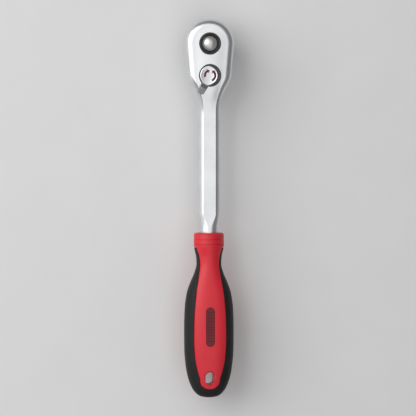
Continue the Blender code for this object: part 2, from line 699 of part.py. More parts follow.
def drive_gear():
    """Toothed wheel, hub, square drive and upper journal in one piece, bored for the release pin."""
    gear = add("drive_gear", prism(gear_outline(), GEAR_BOTTOM, GEAR_TOP), "dark_steel")
    hub = [
        (0, SQUARE_LENGTH),
        (HUB_RADIUS - HUB_CHAMFER, SQUARE_LENGTH),
        (HUB_RADIUS, SQUARE_LENGTH + HUB_CHAMFER),
        (HUB_RADIUS, GEAR_BOTTOM + OVERSHOOT),
        (0, GEAR_BOTTOM + OVERSHOOT),
    ]
    join(gear, "hub", turned(hub, FINE))
    join(gear, "journal", rod(JOURNAL_RADIUS, GEAR_TOP - OVERSHOOT, JOURNAL_TOP, FINE))
    half = SQUARE / 2
    rings = [
        square_ring(half - SQUARE_LEAD * 0.7, SQUARE_CORNER * 0.7, 0),
        square_ring(half, SQUARE_CORNER, SQUARE_LEAD),
        square_ring(half, SQUARE_CORNER, SQUARE_LENGTH + OVERSHOOT),
    ]
    join(gear, "square", loft(rings))
    groove = RING_OUTER + FIT
    bore = [
        (0, PIN_BORE_FLOOR - PIN_BORE_POINT),
        (PIN_BORE_RADIUS, PIN_BORE_FLOOR),
        (PIN_BORE_RADIUS, SPRING_FLOOR),
        (BUTTON_BORE_RADIUS, SPRING_FLOOR),
        (BUTTON_BORE_RADIUS, RING_BOTTOM - FIT),
        (groove, RING_BOTTOM - FIT),
        (groove, RING_TOP + FIT),
        (BUTTON_BORE_RADIUS, RING_TOP + FIT),
        (BUTTON_BORE_RADIUS, DISH_FLOOR),
        (DISH_RADIUS, JOURNAL_TOP),
        (DISH_RADIUS, JOURNAL_TOP + OVERSHOOT),
        (0, JOURNAL_TOP + OVERSHOOT),
    ]
    cut(gear, "release_bore", turned(bore, MEDIUM))
    ball_bore = [
        (0, 0),
        (BALL_RADIUS + RUN, 0),
        (BALL_RADIUS + RUN, half - BALL_MOUTH_DEPTH),
        (BALL_MOUTH_RADIUS, half),
        (BALL_MOUTH_RADIUS, half + OVERSHOOT),
        (0, half + OVERSHOOT),
    ]
    turn = laid_towards(math.pi / 2)
    cut(gear, "ball_bore", turned(ball_bore, MEDIUM), at=(0, 0, BALL_HEIGHT), turn=turn)


def thrust_washer():
    """Thin ring between the gear and the roof of the head."""
    inner = JOURNAL_RADIUS + RUN
    outer = GEAR_RADIUS - TOOTH_DEPTH - WASHER_MARGIN
    low = GEAR_TOP + PLAY
    outline = [
        (inner, low),
        (outer, low),
        (outer, low + WASHER_THICKNESS),
        (inner, low + WASHER_THICKNESS),
    ]
    add("thrust_washer", turned(outline, MEDIUM, closed=True), "bright_steel")


def release_button():
    """Domed push button with a skirt that the snap ring holds down."""
    edge = BUTTON_TOP - BUTTON_DOME
    dome = [(BUTTON_RADIUS * math.sin(a), edge + BUTTON_DOME * math.cos(a)) for a in fan(6)]
    hole = PIN_STEM_RADIUS + FIT
    profile = dome + [
        (BUTTON_RADIUS, SKIRT_TOP),
        (SKIRT_RADIUS, SKIRT_TOP),
        (SKIRT_RADIUS, SKIRT_BOTTOM),
        (hole, SKIRT_BOTTOM),
        (hole, edge - FIT),
        (0, edge - FIT),
    ]
    add("release_button", turned(profile, MEDIUM), "bright_steel")


def fan(steps):
    """Angles from 0 to a right angle."""
    return [math.pi / 2 * i / steps for i in range(steps + 1)]


def release_pin():
    """Stem under the button. Its groove comes level with the ball when the button is pressed."""
    groove_middle = BALL_HEIGHT + BUTTON_TRAVEL
    groove_low, groove_high = groove_middle - PIN_GROOVE_HALF, groove_middle + PIN_GROOVE_HALF
    lower_ramp = (PIN_RADIUS - PIN_GROOVE_RADIUS) * BUTTON_TRAVEL / BALL_TRAVEL  # in step with the ball
    land_low = groove_high + PIN_UPPER_RAMP
    land_high = land_low + PIN_LAND
    top = BUTTON_TOP - BUTTON_DOME - 2 * FIT
    tip = BALL_HEIGHT - PIN_TIP
    profile = [
        (0, top),
        (PIN_STEM_RADIUS, top),
        (PIN_STEM_RADIUS, land_high + PIN_LAND_TAPER),
        (PIN_RADIUS, land_high),
        (PIN_RADIUS, land_low),
        (PIN_GROOVE_RADIUS, groove_high),
        (PIN_GROOVE_RADIUS, groove_low),
        (PIN_RADIUS, groove_low - lower_ramp),
        (PIN_RADIUS, tip + PIN_TIP_CHAMFER),
        (PIN_RADIUS - PIN_TIP_CHAMFER, tip),
        (0, tip),
    ]
    add("release_pin", turned(profile, 20), "bright_steel")


def release_spring():
    """Coil under the button's skirt, on the floor of the gear's counterbore."""
    low = SPRING_FLOOR + FIT
    length = SKIRT_BOTTOM - FIT - low
    radius = (BUTTON_BORE_RADIUS + PIN_STEM_RADIUS) / 2
    spring = coil(radius, RELEASE_WIRE, RELEASE_TURNS, length, 14, 6)
    add("release_spring", spring, "spring_steel", at=(0, 0, low))


def button_snap_ring():
    """Open wire ring in the gear's groove, above the button's skirt."""
    outer = arc((0, 0), RING_OUTER, RING_GAP / 2, math.tau - RING_GAP / 2, 20)
    inner = arc((0, 0), RING_INNER, math.tau - RING_GAP / 2, RING_GAP / 2, 20)
    add("button_snap_ring", prism(outer + inner, RING_BOTTOM, RING_TOP), "spring_steel")


def detent_ball():
    bm = bmesh.new()
    bmesh.ops.create_uvsphere(bm, u_segments=16, v_segments=10, radius=BALL_RADIUS)
    add("detent_ball", bm, "bright_steel", at=(0, BALL_CENTRE, BALL_HEIGHT))


# Pawl, selector and plunger


def pawl_half_outline():
    """Right side of the pawl midway between its two positions, from its front's middle to its back's."""
    middle = -math.pi / 2
    face = GEAR_RADIUS + PAWL_GAP
    tip = face - TOOTH_DEPTH
    half_root, half_tip = PAWL_TOOTH_ROOT_SHARE / 2, PAWL_TOOTH_TIP_SHARE / 2
    first = middle + (PAWL_TOOTH_FROM + 0.5) * TOOTH_PITCH
    places = [(face, first - 0.8 * TOOTH_PITCH)]
    for tooth in range(PAWL_TEETH):
        for radius, share in ((face, -half_root), (tip, -half_tip), (tip, half_tip), (face, half_root)):
            places.append((radius, first + (tooth + share) * TOOTH_PITCH))
    last = first + (PAWL_TEETH - 0.25) * TOOTH_PITCH
    places.append((face, last))
    meshed = [(radius * math.cos(angle), radius * math.sin(angle)) for radius, angle in places]
    meshed += arc((0, 0), face + PAWL_ARM, last, last - 1.8 * TOOTH_PITCH, 3)
    front = arc((0, 0), GEAR_RADIUS + PAWL_FRONT_GAP, middle, middle + 2.6 * TOOTH_PITCH, 3)
    back = arc(SELECTOR_AXIS, PAWL_BACK_RADIUS, math.radians(48), math.pi / 2, 4)
    return front + turned_about(meshed, PAWL_AXIS, -PAWL_SWING / 2) + back


def pawl():
    """Rocker with teeth at both ends. At rest its right-hand teeth are in the gear."""
    low, high = COVER_TOP + 2 * PLAY, ROOF - 2 * PLAY
    outline = [(x, y + PAWL_PIVOT_DISTANCE) for x, y in mirrored(pawl_half_outline())]
    made = add("pawl", prism(outline, low, high), "dark_steel", at=PAWL_AXIS, turn=spun(PAWL_SWING / 2))
    eye = rod(PAWL_PIN_RADIUS + RUN, low - OVERSHOOT, high + OVERSHOOT, COARSE)
    cut(made, "pawl_eye", eye, at=PAWL_AXIS)


def pawl_pin():
    pin = rod(PAWL_PIN_RADIUS, HEAD_BOTTOM + COVER_SKIN, PAWL_PIN_TOP, COARSE)
    add("pawl_pin", pin, "bright_steel", at=PAWL_AXIS)


def selector_stem():
    """Turned stem: foot in the cover, neck in the roof, square for the lever and bore for the plunger."""
    groove_low, groove_high = neck_seal_groove()
    profile = [
        (0, HEAD_BOTTOM + COVER_SKIN),
        (STEM_FOOT_RADIUS, HEAD_BOTTOM + COVER_SKIN),
        (STEM_FOOT_RADIUS, STEM_BOTTOM),
        (STEM_RADIUS, STEM_BOTTOM),
        (STEM_RADIUS, STEM_TOP),
        (STEM_NECK_RADIUS, STEM_TOP),
        (STEM_NECK_RADIUS, groove_low),
        (neck_seal_floor(), groove_low),
        (neck_seal_floor(), groove_high),
        (STEM_NECK_RADIUS, groove_high),
        (STEM_NECK_RADIUS, DISC_BOTTOM - FIT),
        (0, DISC_BOTTOM - FIT),
    ]
    turn = spun(TAB_ANGLE)
    stem = add("selector_stem", turned(profile, 24), "bright_steel", at=SELECTOR_AXIS, turn=turn)
    half = STEM_SQUARE / 2
    ends = (DISC_BOTTOM - OVERSHOOT / 2, DISC_TOP - STEM_COVERED - FIT)
    spigot = loft([square_ring(half, STEM_SQUARE_CORNER, z, 1) for z in ends])
    join(stem, "stem_square", spigot, at=SELECTOR_AXIS, turn=turn)
    bore = rod(PLUNGER_RADIUS + RUN, -PLUNGER_BORE_PAST, STEM_RADIUS + OVERSHOOT, COARSE)
    where = SELECTOR_AXIS + Vector((0, 0, PLUNGER_HEIGHT))
    cut(stem, "plunger_bore", bore, at=where, turn=laid_towards(PLUNGER_ANGLE))


def neck_seal_floor():
    return STEM_NECK_RADIUS + RUN - 2 * NECK_SEAL_WIRE - 2 * FIT


def neck_seal_groove():
    """Lowest and highest height of the seal's groove, in the middle of the roof."""
    middle = (ROOF + DISC_BOTTOM - PLAY) / 2
    half = NECK_SEAL_WIRE + FIT
    return middle - half, middle + half


def selector_seal():
    low, high = neck_seal_groove()
    radius = neck_seal_floor() + FIT + NECK_SEAL_WIRE - NECK_SEAL_EASE
    seal = torus(radius, NECK_SEAL_WIRE, (low + high) / 2, 20, 6)
    add("selector_seal", seal, "seal_rubber", at=SELECTOR_AXIS)


def thumb_tab():
    """The lever's tab along +X from its axis: low at the disc, climbing to a crest, its edges trimmed."""
    low, top = HEAD_TOP - TAB_SUNK, DISC_TOP + TAB_RISE
    side = [
        (TAB_ROOT, low),
        (TAB_REACH - TAB_TOE, low),
        (TAB_REACH, low + TAB_TOE),
        (TAB_REACH, top - TAB_NOSE),
        (TAB_REACH - TAB_NOSE, top),
        (TAB_REACH - TAB_CREST, top),
        (DISC_RADIUS + TAB_HEEL[0], DISC_TOP + TAB_HEEL[1]),
        (TAB_ROOT, DISC_TOP - PLAY),
    ]
    rings = []
    for across, trim in ((-1, TAB_TRIM), (-0.8, 0), (0.8, 0), (1, TAB_TRIM)):
        ring = []
        for r, z in side:
            down = trim if z > low + TAB_SUNK else 0
            back = down if r > DISC_RADIUS else 0
            narrow = mix(1, TAB_NARROWING, smooth((r - DISC_RADIUS) / (TAB_REACH - DISC_RADIUS)))
            ring.append((r - back, across * narrow * TAB_WIDTH / 2, z - down))
        rings.append(ring)
    return loft(rings)


def selector_lever():
    """Round disc, cut back on its free side, with a thumb tab, on the stem's square."""
    profile = [
        (0, DISC_BOTTOM),
        (DISC_RADIUS, DISC_BOTTOM),
        (DISC_RADIUS, DISC_TOP - DISC_CHAMFER),
        (DISC_RADIUS - DISC_CHAMFER, DISC_TOP),
        (0, DISC_TOP),
    ]
    turn = spun(TAB_ANGLE)
    lever = add("selector_lever", turned(profile, 36), "satin_chrome", at=SELECTOR_AXIS, turn=turn)
    relief = SELECTOR_AXIS + Vector((DISC_RADIUS - DISC_RELIEF - DISC_RELIEF_RADIUS, 0, 0))
    crescent = prism(relief_room(), DISC_BOTTOM - OVERSHOOT / 2, DISC_TOP + OVERSHOOT / 2)
    crescent = add("disc_relief", crescent, at=relief)
    keep = rod(DISC_RELIEF_RADIUS, DISC_BOTTOM - OVERSHOOT, DISC_TOP + OVERSHOOT, 36)
    cut(crescent, "disc_relief_keep", keep, at=relief)
    apply_helper(lever, crescent, "DIFFERENCE")
    join(lever, "thumb_tab", thumb_tab(), at=SELECTOR_AXIS, turn=turn)
    half = STEM_SQUARE / 2 + FIT
    ends = (DISC_BOTTOM - OVERSHOOT, DISC_TOP - STEM_COVERED)
    hole = loft([square_ring(half, STEM_SQUARE_CORNER, z, 1) for z in ends])
    cut(lever, "lever_square", hole, at=SELECTOR_AXIS, turn=turn)


def relief_room():
    """A box in plan, from the relief circle's centre to beyond the disc."""
    reach = DISC_RADIUS + OVERSHOOT
    return [(0, -reach), (reach, -reach), (reach, reach), (0, reach)]


def pawl_plunger():
    """Round-nosed plunger that the selector carries against the pawl's back."""
    shoulder = PLUNGER_REACH - PLUNGER_RADIUS
    nose = [(PLUNGER_RADIUS * math.cos(a), shoulder + PLUNGER_RADIUS * math.sin(a)) for a in fan(4)]
    back = PLUNGER_REACH - PLUNGER_LENGTH
    profile = [(0, back), (PLUNGER_RADIUS, back)] + nose[:-1] + [(0, PLUNGER_REACH)]
    where = SELECTOR_AXIS + Vector((0, 0, PLUNGER_HEIGHT))
    add("pawl_plunger", turned(profile, 16), "bright_steel", at=where, turn=laid_towards(PLUNGER_ANGLE))


def plunger_spring():
    """Coil behind the plunger, in the stem's bore."""
    start = FIT - PLUNGER_BORE_PAST
    length = PLUNGER_REACH - PLUNGER_LENGTH - FIT - start
    spring = coil(PLUNGER_RADIUS - PLUNGER_WIRE - FIT, PLUNGER_WIRE, PLUNGER_TURNS, length, 12, 6)
    turn = laid_towards(PLUNGER_ANGLE)
    where = SELECTOR_AXIS + Vector((0, 0, PLUNGER_HEIGHT)) + turn @ Vector((0, 0, start))
    add("plunger_spring", spring, "spring_steel", at=where, turn=turn)


# Cover, screws and seal


def drive_seal_place():
    """(ring radius, middle height) of the seal round the hub."""
    radius = HUB_RADIUS + RUN + SEAL_WIRE
    return radius, COVER_TOP - SEAL_WIRE - FIT / 2


def cover_plate():
    """Pear-shaped plate let into the underside of the head."""
    outline = pear(HEAD_RADIUS - COVER_RIM, COVER_HEEL_RADIUS)
    cover = add("cover_plate", prism(outline, HEAD_BOTTOM, COVER_TOP), "satin_chrome")
    radius, middle = drive_seal_place()
    low = middle - SEAL_WIRE - FIT
    profile = [
        (0, HEAD_BOTTOM - OVERSHOOT),
        (HUB_RADIUS + RUN, HEAD_BOTTOM - OVERSHOOT),
        (HUB_RADIUS + RUN, low),
        (radius + SEAL_WIRE + FIT, low),
        (radius + SEAL_WIRE + FIT, COVER_TOP + OVERSHOOT),
        (0, COVER_TOP + OVERSHOOT),
    ]
    cut(cover, "hub_hole", turned(profile, FINE))
    low, high = HEAD_BOTTOM - OVERSHOOT, COVER_TOP + OVERSHOOT
    cut(cover, "stem_foot_hole", rod(STEM_FOOT_RADIUS + RUN, low, high, 20), at=SELECTOR_AXIS)
    cut(cover, "cover_pin_hole", rod(PAWL_PIN_RADIUS + FIT, low, high, COARSE), at=PAWL_AXIS)
    head, shaft = SCREW_HEAD_RADIUS + FIT, SCREW_RADIUS + FIT
    face = HEAD_BOTTOM + SCREW_SUNK
    sink = [(0, low), (head, low), (head, face), (shaft, face + head - shaft), (shaft, high), (0, high)]
    for number, (x, y) in enumerate(SCREW_PLACES, 1):
        cut(cover, f"countersink_{number}", turned(sink, 20), at=(x, y, 0))


def cover_screws():
    """Three countersunk screws with hexagon sockets."""
    face, end = HEAD_BOTTOM + SCREW_SUNK, HEAD_BOTTOM + SCREW_LENGTH
    profile = [
        (0, face),
        (SCREW_HEAD_RADIUS, face),
        (SCREW_RADIUS, face + SCREW_HEAD_RADIUS - SCREW_RADIUS),
        (SCREW_RADIUS, end - SCREW_POINT),
        (SCREW_RADIUS - SCREW_POINT, end),
        (0, end),
    ]
    corner = SCREW_KEY / 2 / math.cos(math.pi / 6)
    for number, (x, y) in enumerate(SCREW_PLACES, 1):
        screw = add(f"cover_screw_{number}", turned(profile, 20), "dark_steel", at=(x, y, 0))
        socket = rod(corner, face - OVERSHOOT, face + SCREW_KEY_DEPTH, 6)
        cut(screw, f"screw_socket_{number}", socket, at=(x, y, 0))


def drive_seal():
    radius, middle = drive_seal_place()
    add("drive_seal", torus(radius, SEAL_WIRE, middle, MEDIUM, 6), "seal_rubber")


# Handle


def handle_ring(distance, grow=0.0):
    """One section of the handle: round at the collar, a fuller oval further back."""
    half_width, half_height = along(HANDLE_STATIONS, distance)
    power = mix(2, GRIP_FULLNESS, smooth((distance - COLLAR_END) / GRIP_FULLNESS_RUN))
    ring = []
    for k in range(WRAP):
        a = math.tau * k / WRAP
        c, s = math.cos(a), math.sin(a)
        x = math.copysign(abs(c) ** (2 / power), c) * (half_width + grow)
        z = math.copysign(abs(s) ** (2 / power), s) * (half_height + grow)
        ring.append((x, -distance, SHANK_MIDDLE + z))
    return ring


def handle_envelope():
    """The whole handle's outer shape, which the core and the grip are cut from."""
    start, end = HANDLE_STATIONS[0][0], HANDLE_STATIONS[-1][0]
    distances = [start, HANDLE_STATIONS[1][0], 129 * MM, HANDLE_STATIONS[2][0]]
    count = 24
    for i in range(1, count + 1):
        t = i / count
        distances.append(mix(HANDLE_STATIONS[2][0], end, mix(t, math.sin(t * math.pi / 2), 0.45)))
    return loft([handle_ring(d) for d in distances])


def core_outline(grow=0.0):
    """The core in plan: wider than the handle at the collar, then a waisted strip with a round nose."""
    wide = HANDLE_STATIONS[2][1] + CORE_OVERWIDTH
    front = -HANDLE_STATIONS[0][0] + OVERSHOOT
    half = [(0, front), (wide, front), (wide, -COLLAR_END - grow)]
    for i in range(19):
        distance = mix(CORE_STATIONS[0][0] + grow, CORE_STATIONS[-1][0], i / 18)
        half.append((along(CORE_STATIONS, distance)[0] + grow, -distance))
    end, half_width = CORE_STATIONS[-1]
    for a in fan(6)[1:]:
        half.append(((half_width + grow) * math.cos(a), -end - (CORE_NOSE_RADIUS + grow) * math.sin(a)))
    return mirrored(half)


def handle_core():
    """Hard plastic moulded on the tang: collar, waisted strip and the eye that the tool hangs by."""
    low, high = SHANK_MIDDLE - HANDLE_REACH, SHANK_MIDDLE + HANDLE_REACH
    core = add("handle_core", handle_envelope(), "red_plastic")
    combine(core, "core_plan", prism(core_outline(), low, high), "INTERSECT")
    cut(core, "tang_socket", tang_socket())
    slot = stadium(HANG_HOLE_HALF_WIDTH, HANG_HOLE_LENGTH, -HANG_HOLE_DISTANCE)
    cut(core, "hang_hole", prism(slot, low, high))
    pocket = stadium(INLAY_WIDTH / 2 + FIT, INLAY_LENGTH + 2 * FIT, -INLAY_DISTANCE)
    cut(core, "inlay_pocket", prism(pocket, inlay_floor() - FIT, high))


def tang_socket():
    """The shank's hidden end, grown by the fit, for the core's hole."""
    sections = [
        (HANDLE_STATIONS[0][0] - OVERSHOOT, ROUND_RADIUS, ROUND_RADIUS, ROUND_CORNER),
        (STEP_START + FIT, ROUND_RADIUS, ROUND_RADIUS, ROUND_CORNER),
        (STEP_END + FIT, TANG_HALF_WIDTH, TANG_HALF_HEIGHT, TANG_CORNER),
        (TANG_END + FIT, TANG_HALF_WIDTH, TANG_HALF_HEIGHT, TANG_CORNER),
    ]
    rings = []
    for distance, half_width, half_height, corner in sections:
        reach_x, reach_z = half_width - corner, half_height - corner
        ring = []
        for quarter in range(4):
            sx = 1 if quarter in (0, 3) else -1
            sz = 1 if quarter in (0, 1) else -1
            a = quarter * math.pi / 2
            centre = (sx * reach_x, SHANK_MIDDLE + sz * reach_z)
            ring += [(x, -distance, z) for x, z in arc(centre, corner + FIT, a, a + math.pi / 2, EDGE_STEPS)]
        rings.append(ring)
    return loft(rings)


def inlay_floor():
    """Height of the inlay's underside: its depth below the core's surface at its middle."""
    return SHANK_MIDDLE + along(HANDLE_STATIONS, INLAY_DISTANCE)[1] - INLAY_DEPTH


def grip_inlay():
    """Thin plate let into the top of the core."""
    inlay = add("grip_inlay", handle_envelope(), "dark_plastic")
    outline = stadium(INLAY_WIDTH / 2, INLAY_LENGTH, -INLAY_DISTANCE)
    combine(inlay, "inlay_plan", prism(outline, inlay_floor(), SHANK_MIDDLE + HANDLE_REACH), "INTERSECT")


def soft_grip():
    """Soft sleeve on both sides of the core, in one piece round the butt."""
    grip = add("soft_grip", handle_envelope(), "black_rubber")
    room = prism(core_outline(FIT), SHANK_MIDDLE - HANDLE_REACH, SHANK_MIDDLE + HANDLE_REACH)
    cut(grip, "core_room", room)


def main():
    clear_scene()
    head_and_shank()
    drive_gear()
    thrust_washer()
    release_button()
    release_pin()
    release_spring()
    button_snap_ring()
    detent_ball()
    pawl()
    pawl_pin()
    selector_stem()
    selector_seal()
    selector_lever()
    pawl_plunger()
    plunger_spring()
    cover_plate()
    cover_screws()
    drive_seal()
    handle_core()
    grip_inlay()
    soft_grip()


main()
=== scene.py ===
"""Looks of the half-inch drive ratchet wrench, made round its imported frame. Sizes are in metres. The button
is on the +Z side and the handle runs along -Y."""

import json
import math

import bmesh
import bpy
from mathutils import Matrix, Vector
from mathutils.geometry import convex_hull_2d


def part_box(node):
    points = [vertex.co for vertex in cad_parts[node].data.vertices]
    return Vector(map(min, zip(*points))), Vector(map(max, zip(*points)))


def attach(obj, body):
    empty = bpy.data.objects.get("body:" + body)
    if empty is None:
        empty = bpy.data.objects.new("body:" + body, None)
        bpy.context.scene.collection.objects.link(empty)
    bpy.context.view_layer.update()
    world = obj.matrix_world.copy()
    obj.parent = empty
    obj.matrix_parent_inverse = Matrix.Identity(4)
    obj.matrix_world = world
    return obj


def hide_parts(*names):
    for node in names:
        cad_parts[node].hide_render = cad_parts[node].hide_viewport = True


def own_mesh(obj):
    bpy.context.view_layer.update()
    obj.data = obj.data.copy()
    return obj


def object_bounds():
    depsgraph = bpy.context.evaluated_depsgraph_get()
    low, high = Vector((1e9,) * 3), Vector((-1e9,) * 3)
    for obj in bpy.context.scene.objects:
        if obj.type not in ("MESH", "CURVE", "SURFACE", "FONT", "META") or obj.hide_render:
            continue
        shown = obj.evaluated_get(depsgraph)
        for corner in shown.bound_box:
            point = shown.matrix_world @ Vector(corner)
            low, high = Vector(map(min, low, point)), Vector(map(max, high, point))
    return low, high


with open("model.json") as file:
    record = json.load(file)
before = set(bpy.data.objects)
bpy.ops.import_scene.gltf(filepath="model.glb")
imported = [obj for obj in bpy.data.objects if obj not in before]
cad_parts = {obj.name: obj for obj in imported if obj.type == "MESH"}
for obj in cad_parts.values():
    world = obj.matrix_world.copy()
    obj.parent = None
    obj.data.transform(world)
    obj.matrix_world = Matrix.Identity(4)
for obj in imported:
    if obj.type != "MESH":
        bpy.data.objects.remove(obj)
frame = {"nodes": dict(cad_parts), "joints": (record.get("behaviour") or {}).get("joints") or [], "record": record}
CAD_LOW, CAD_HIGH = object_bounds()

MM = 0.001
HEAD_LOW, HEAD_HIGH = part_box("head_and_shank")
GEAR_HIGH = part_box("drive_gear")[1]
COVER_LOW, COVER_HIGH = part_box("cover_plate")
BUTTON_LOW, BUTTON_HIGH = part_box("release_button")
BALL_LOW, BALL_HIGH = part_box("detent_ball")
RING_LOW, RING_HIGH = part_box("button_snap_ring")
LEVER_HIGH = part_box("selector_lever")[1]
STEM_LOW, STEM_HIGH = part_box("selector_stem")
CORE_LOW, CORE_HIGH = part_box("handle_core")
INLAY_LOW, INLAY_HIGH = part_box("grip_inlay")
WASHER_LOW, WASHER_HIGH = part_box("thrust_washer")
PAWL_LOW, PAWL_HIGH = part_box("pawl")


def joint_row(name):
    return next(joint for joint in frame["joints"] if joint["name"] == name)


def joint_place(name):
    """Where a hinge's axis stands, in plan."""
    x, y, _ = joint_row(name)["pos_m"]
    return Vector((x, y, 0))


FIT = 0.15 * MM
OVERSHOOT = 2 * MM

# Head and shank
HEAD_TOP = HEAD_HIGH[2]
HEAD_BOTTOM = HEAD_LOW[2]
HEAD_RADIUS = HEAD_HIGH[1]
SELECTOR_AXIS = joint_place("selector_swing")
PAWL_AXIS = joint_place("pawl_rock")
SELECTOR_DISTANCE = -SELECTOR_AXIS.y
HEEL_RADIUS = 14.7 * MM
HEEL_DISTANCE = SELECTOR_DISTANCE - 2.1 * MM
NECK_FILLET = 30 * MM
HEAD_EDGE = 5.0 * MM
UNDER_EDGE = 1.2 * MM
CROWN = 0.7 * MM
SHANK_HALF_WIDTH = 7.15 * MM
SHANK_HALF_HEIGHT = 5.8 * MM
SHANK_BEVEL = (3.0 * MM, 2.9 * MM)
BEVEL_POWER = 1.2  # 1 is a flat bevel, 2 a quarter round
SHANK_MIDDLE = (CORE_LOW[2] + CORE_HIGH[2]) / 2
NECK_START = SELECTOR_DISTANCE + 5.9 * MM
UNDER_START = SELECTOR_DISTANCE + 11.9 * MM
NECK_END = SELECTOR_DISTANCE + 25.9 * MM
# The top edge turns from the head's wide round into the shank's bevel before the neck has come down
EDGE_START, EDGE_END = SELECTOR_DISTANCE - 2 * MM, SELECTOR_DISTANCE + 14 * MM
TAPER_START, TAPER_END = 112 * MM, 123 * MM
ROUND_RADIUS, ROUND_CORNER = 6.4 * MM, 6.0 * MM
STEP_START, STEP_END = 127.8 * MM, 131 * MM
TANG_HALF = (4.8 * MM, 3.8 * MM)
TANG_CORNER = 1.6 * MM
TANG_END = -HEAD_LOW[1]

# Drive
SQUARE = 12.7 * MM
SQUARE_LENGTH = 15.5 * MM
SQUARE_CORNER = 1.3 * MM
SQUARE_LEAD = 0.9 * MM
HUB_RADIUS = 8.7 * MM
GEAR_RADIUS = GEAR_HIGH[0]
GEAR_TEETH = 72
TOOTH_DEPTH = 0.6 * MM
JOURNAL_RADIUS = 7.0 * MM
JOURNAL_TOP = GEAR_HIGH[2]
JOURNAL_LIP = 0.55 * MM
CHAMBER_RADIUS = GEAR_RADIUS + 0.35 * MM
GEAR_BOTTOM = COVER_HIGH[2] + 0.2 * MM
GEAR_TOP = WASHER_LOW[2] - 0.2 * MM
ROOF = WASHER_HIGH[2] + 0.2 * MM
SEAT = COVER_HIGH[2] + FIT
DISH_RADIUS, DISH_DEPTH = 6.3 * MM, 1.3 * MM
BUTTON_RADIUS = 4.0 * MM
BUTTON_DOME = 1.3 * MM
BUTTON_BORE = BUTTON_RADIUS + 0.7 * MM
PIN_BORE = 2.8 * MM
PIN_STEM_RADIUS = 1.6 * MM
BALL_RADIUS = (BALL_HIGH[0] - BALL_LOW[0]) / 2
BALL_PLACE = Vector((0, (BALL_HIGH[1] + BALL_LOW[1]) / 2, (BALL_HIGH[2] + BALL_LOW[2]) / 2))
BALL_MOUTH = 2.17 * MM  # narrower than the ball, which stays in

# Springs: radius of the coil, radius of the wire
BUTTON_SPRING = ((BUTTON_BORE + PIN_STEM_RADIUS) / 2, 0.3 * MM)
PAWL_SPRING = (1.2 * MM, 0.2 * MM)
SPRING_TURNS = 4

# Cover and screws
SCREW_RADIUS, SCREW_HEAD_RADIUS = 1.2 * MM, 2.1 * MM
SCREW_RIM = 0.12 * MM
SCREW_KEY = 1.5 * MM
PAWL_PIN_RADIUS = 1.2 * MM

# Selector
STEM_RADIUS, STEM_FOOT_RADIUS, STEM_SQUARE = 3.9 * MM, 2.4 * MM, 3.6 * MM
STEM_NECK_RADIUS, STEM_GROOVE_RADIUS = 3.4 * MM, 2.61 * MM
STEM_CHAMBER_RADIUS = 6.2 * MM
PLUNGER_BORE = 1.7 * MM
SELECTOR_SWING = math.radians(60)
TAB_ANGLE = math.radians(270) - SELECTOR_SWING / 2
DISC_TOP = HEAD_TOP + 0.4 * MM
DISC_BOTTOM = DISC_TOP - 2.5 * MM
DISC_RADIUS = 6.7 * MM
DISC_RIM, DISC_HOLLOW = 0.55 * MM, 0.65 * MM
DISC_POCKET_RADIUS, DISC_POCKET_LIP = 7.4 * MM, 0.35 * MM
DISC_RELIEF, DISC_RELIEF_RADIUS = 1.6 * MM, 6.2 * MM
TAB_REACH = 13.6 * MM
TAB_WIDTH = 5.0 * MM
TAB_TOP = LEVER_HIGH[2]
ARROW_RADIUS, ARROW_HALF_WIDTH, ARROW_HEAD = 3.4 * MM, 0.72 * MM, 1.5 * MM
ARROW_DEPTH, ARROW_SUNK = 0.85 * MM, 0.60 * MM

# Handle: distance behind the drive axis, half width, half height
HANDLE_STATIONS = [
    (124.9 * MM, 9.2 * MM, 9.2 * MM),
    (125.9 * MM, 9.9 * MM, 9.9 * MM),
    (133.0 * MM, 10.0 * MM, 10.0 * MM),
    (136.5 * MM, 9.4 * MM, 9.5 * MM),
    (140.5 * MM, 8.5 * MM, 8.8 * MM),
    (145.5 * MM, 8.2 * MM, 8.6 * MM),
    (151.0 * MM, 9.5 * MM, 9.3 * MM),
    (157.5 * MM, 12.2 * MM, 10.5 * MM),
    (165.0 * MM, 14.7 * MM, 11.6 * MM),
    (175.0 * MM, 16.0 * MM, 12.3 * MM),
    (188.0 * MM, 16.4 * MM, 12.6 * MM),
    (201.0 * MM, 16.3 * MM, 12.2 * MM),
    (212.0 * MM, 15.5 * MM, 11.3 * MM),
    (221.0 * MM, 13.8 * MM, 10.1 * MM),
    (228.0 * MM, 11.0 * MM, 8.6 * MM),
    (231.7 * MM, 8.0 * MM, 6.9 * MM),
    (233.2 * MM, 5.4 * MM, 5.2 * MM),
    (233.7 * MM, 2.8 * MM, 3.2 * MM),
]
COLLAR_START = HANDLE_STATIONS[0][0]
COLLAR_END = 134.6 * MM
RING_LINES = (129.2 * MM, 132.4 * MM)  # fine lines sunk round the collar
RING_DEPTH, RING_HALF_WIDTH, RING_FLOOR_HALF_WIDTH = 0.3 * MM, 0.23 * MM, 0.07 * MM
HANDLE_REACH = 20 * MM  # further than the handle's surface is from its middle
# Core: distance behind the drive axis, half width
CORE_STATIONS = [
    (134.6 * MM, 8.4 * MM),
    (139.5 * MM, 6.9 * MM),
    (145.5 * MM, 6.2 * MM),
    (154.0 * MM, 7.3 * MM),
    (164.0 * MM, 8.9 * MM),
    (180.0 * MM, 10.3 * MM),
    (194.0 * MM, 10.6 * MM),
    (207.0 * MM, 9.9 * MM),
    (216.0 * MM, 8.2 * MM),
    (222.0 * MM, 6.6 * MM),
]
CORE_NOSE_RADIUS = 6.0 * MM
BUTT_END = HANDLE_STATIONS[-1][0]
HANG_HOLE_DISTANCE = 221.0 * MM
HANG_HOLE_HALF_WIDTH = 3.0 * MM
HANG_HOLE_LENGTH = 8.6 * MM
HANG_HOLE_LIP = 0.9 * MM
SEAM_RADIUS = 0.42 * MM
INLAY_LENGTH = INLAY_HIGH[1] - INLAY_LOW[1]
INLAY_WIDTH = INLAY_HIGH[0] - INLAY_LOW[0]
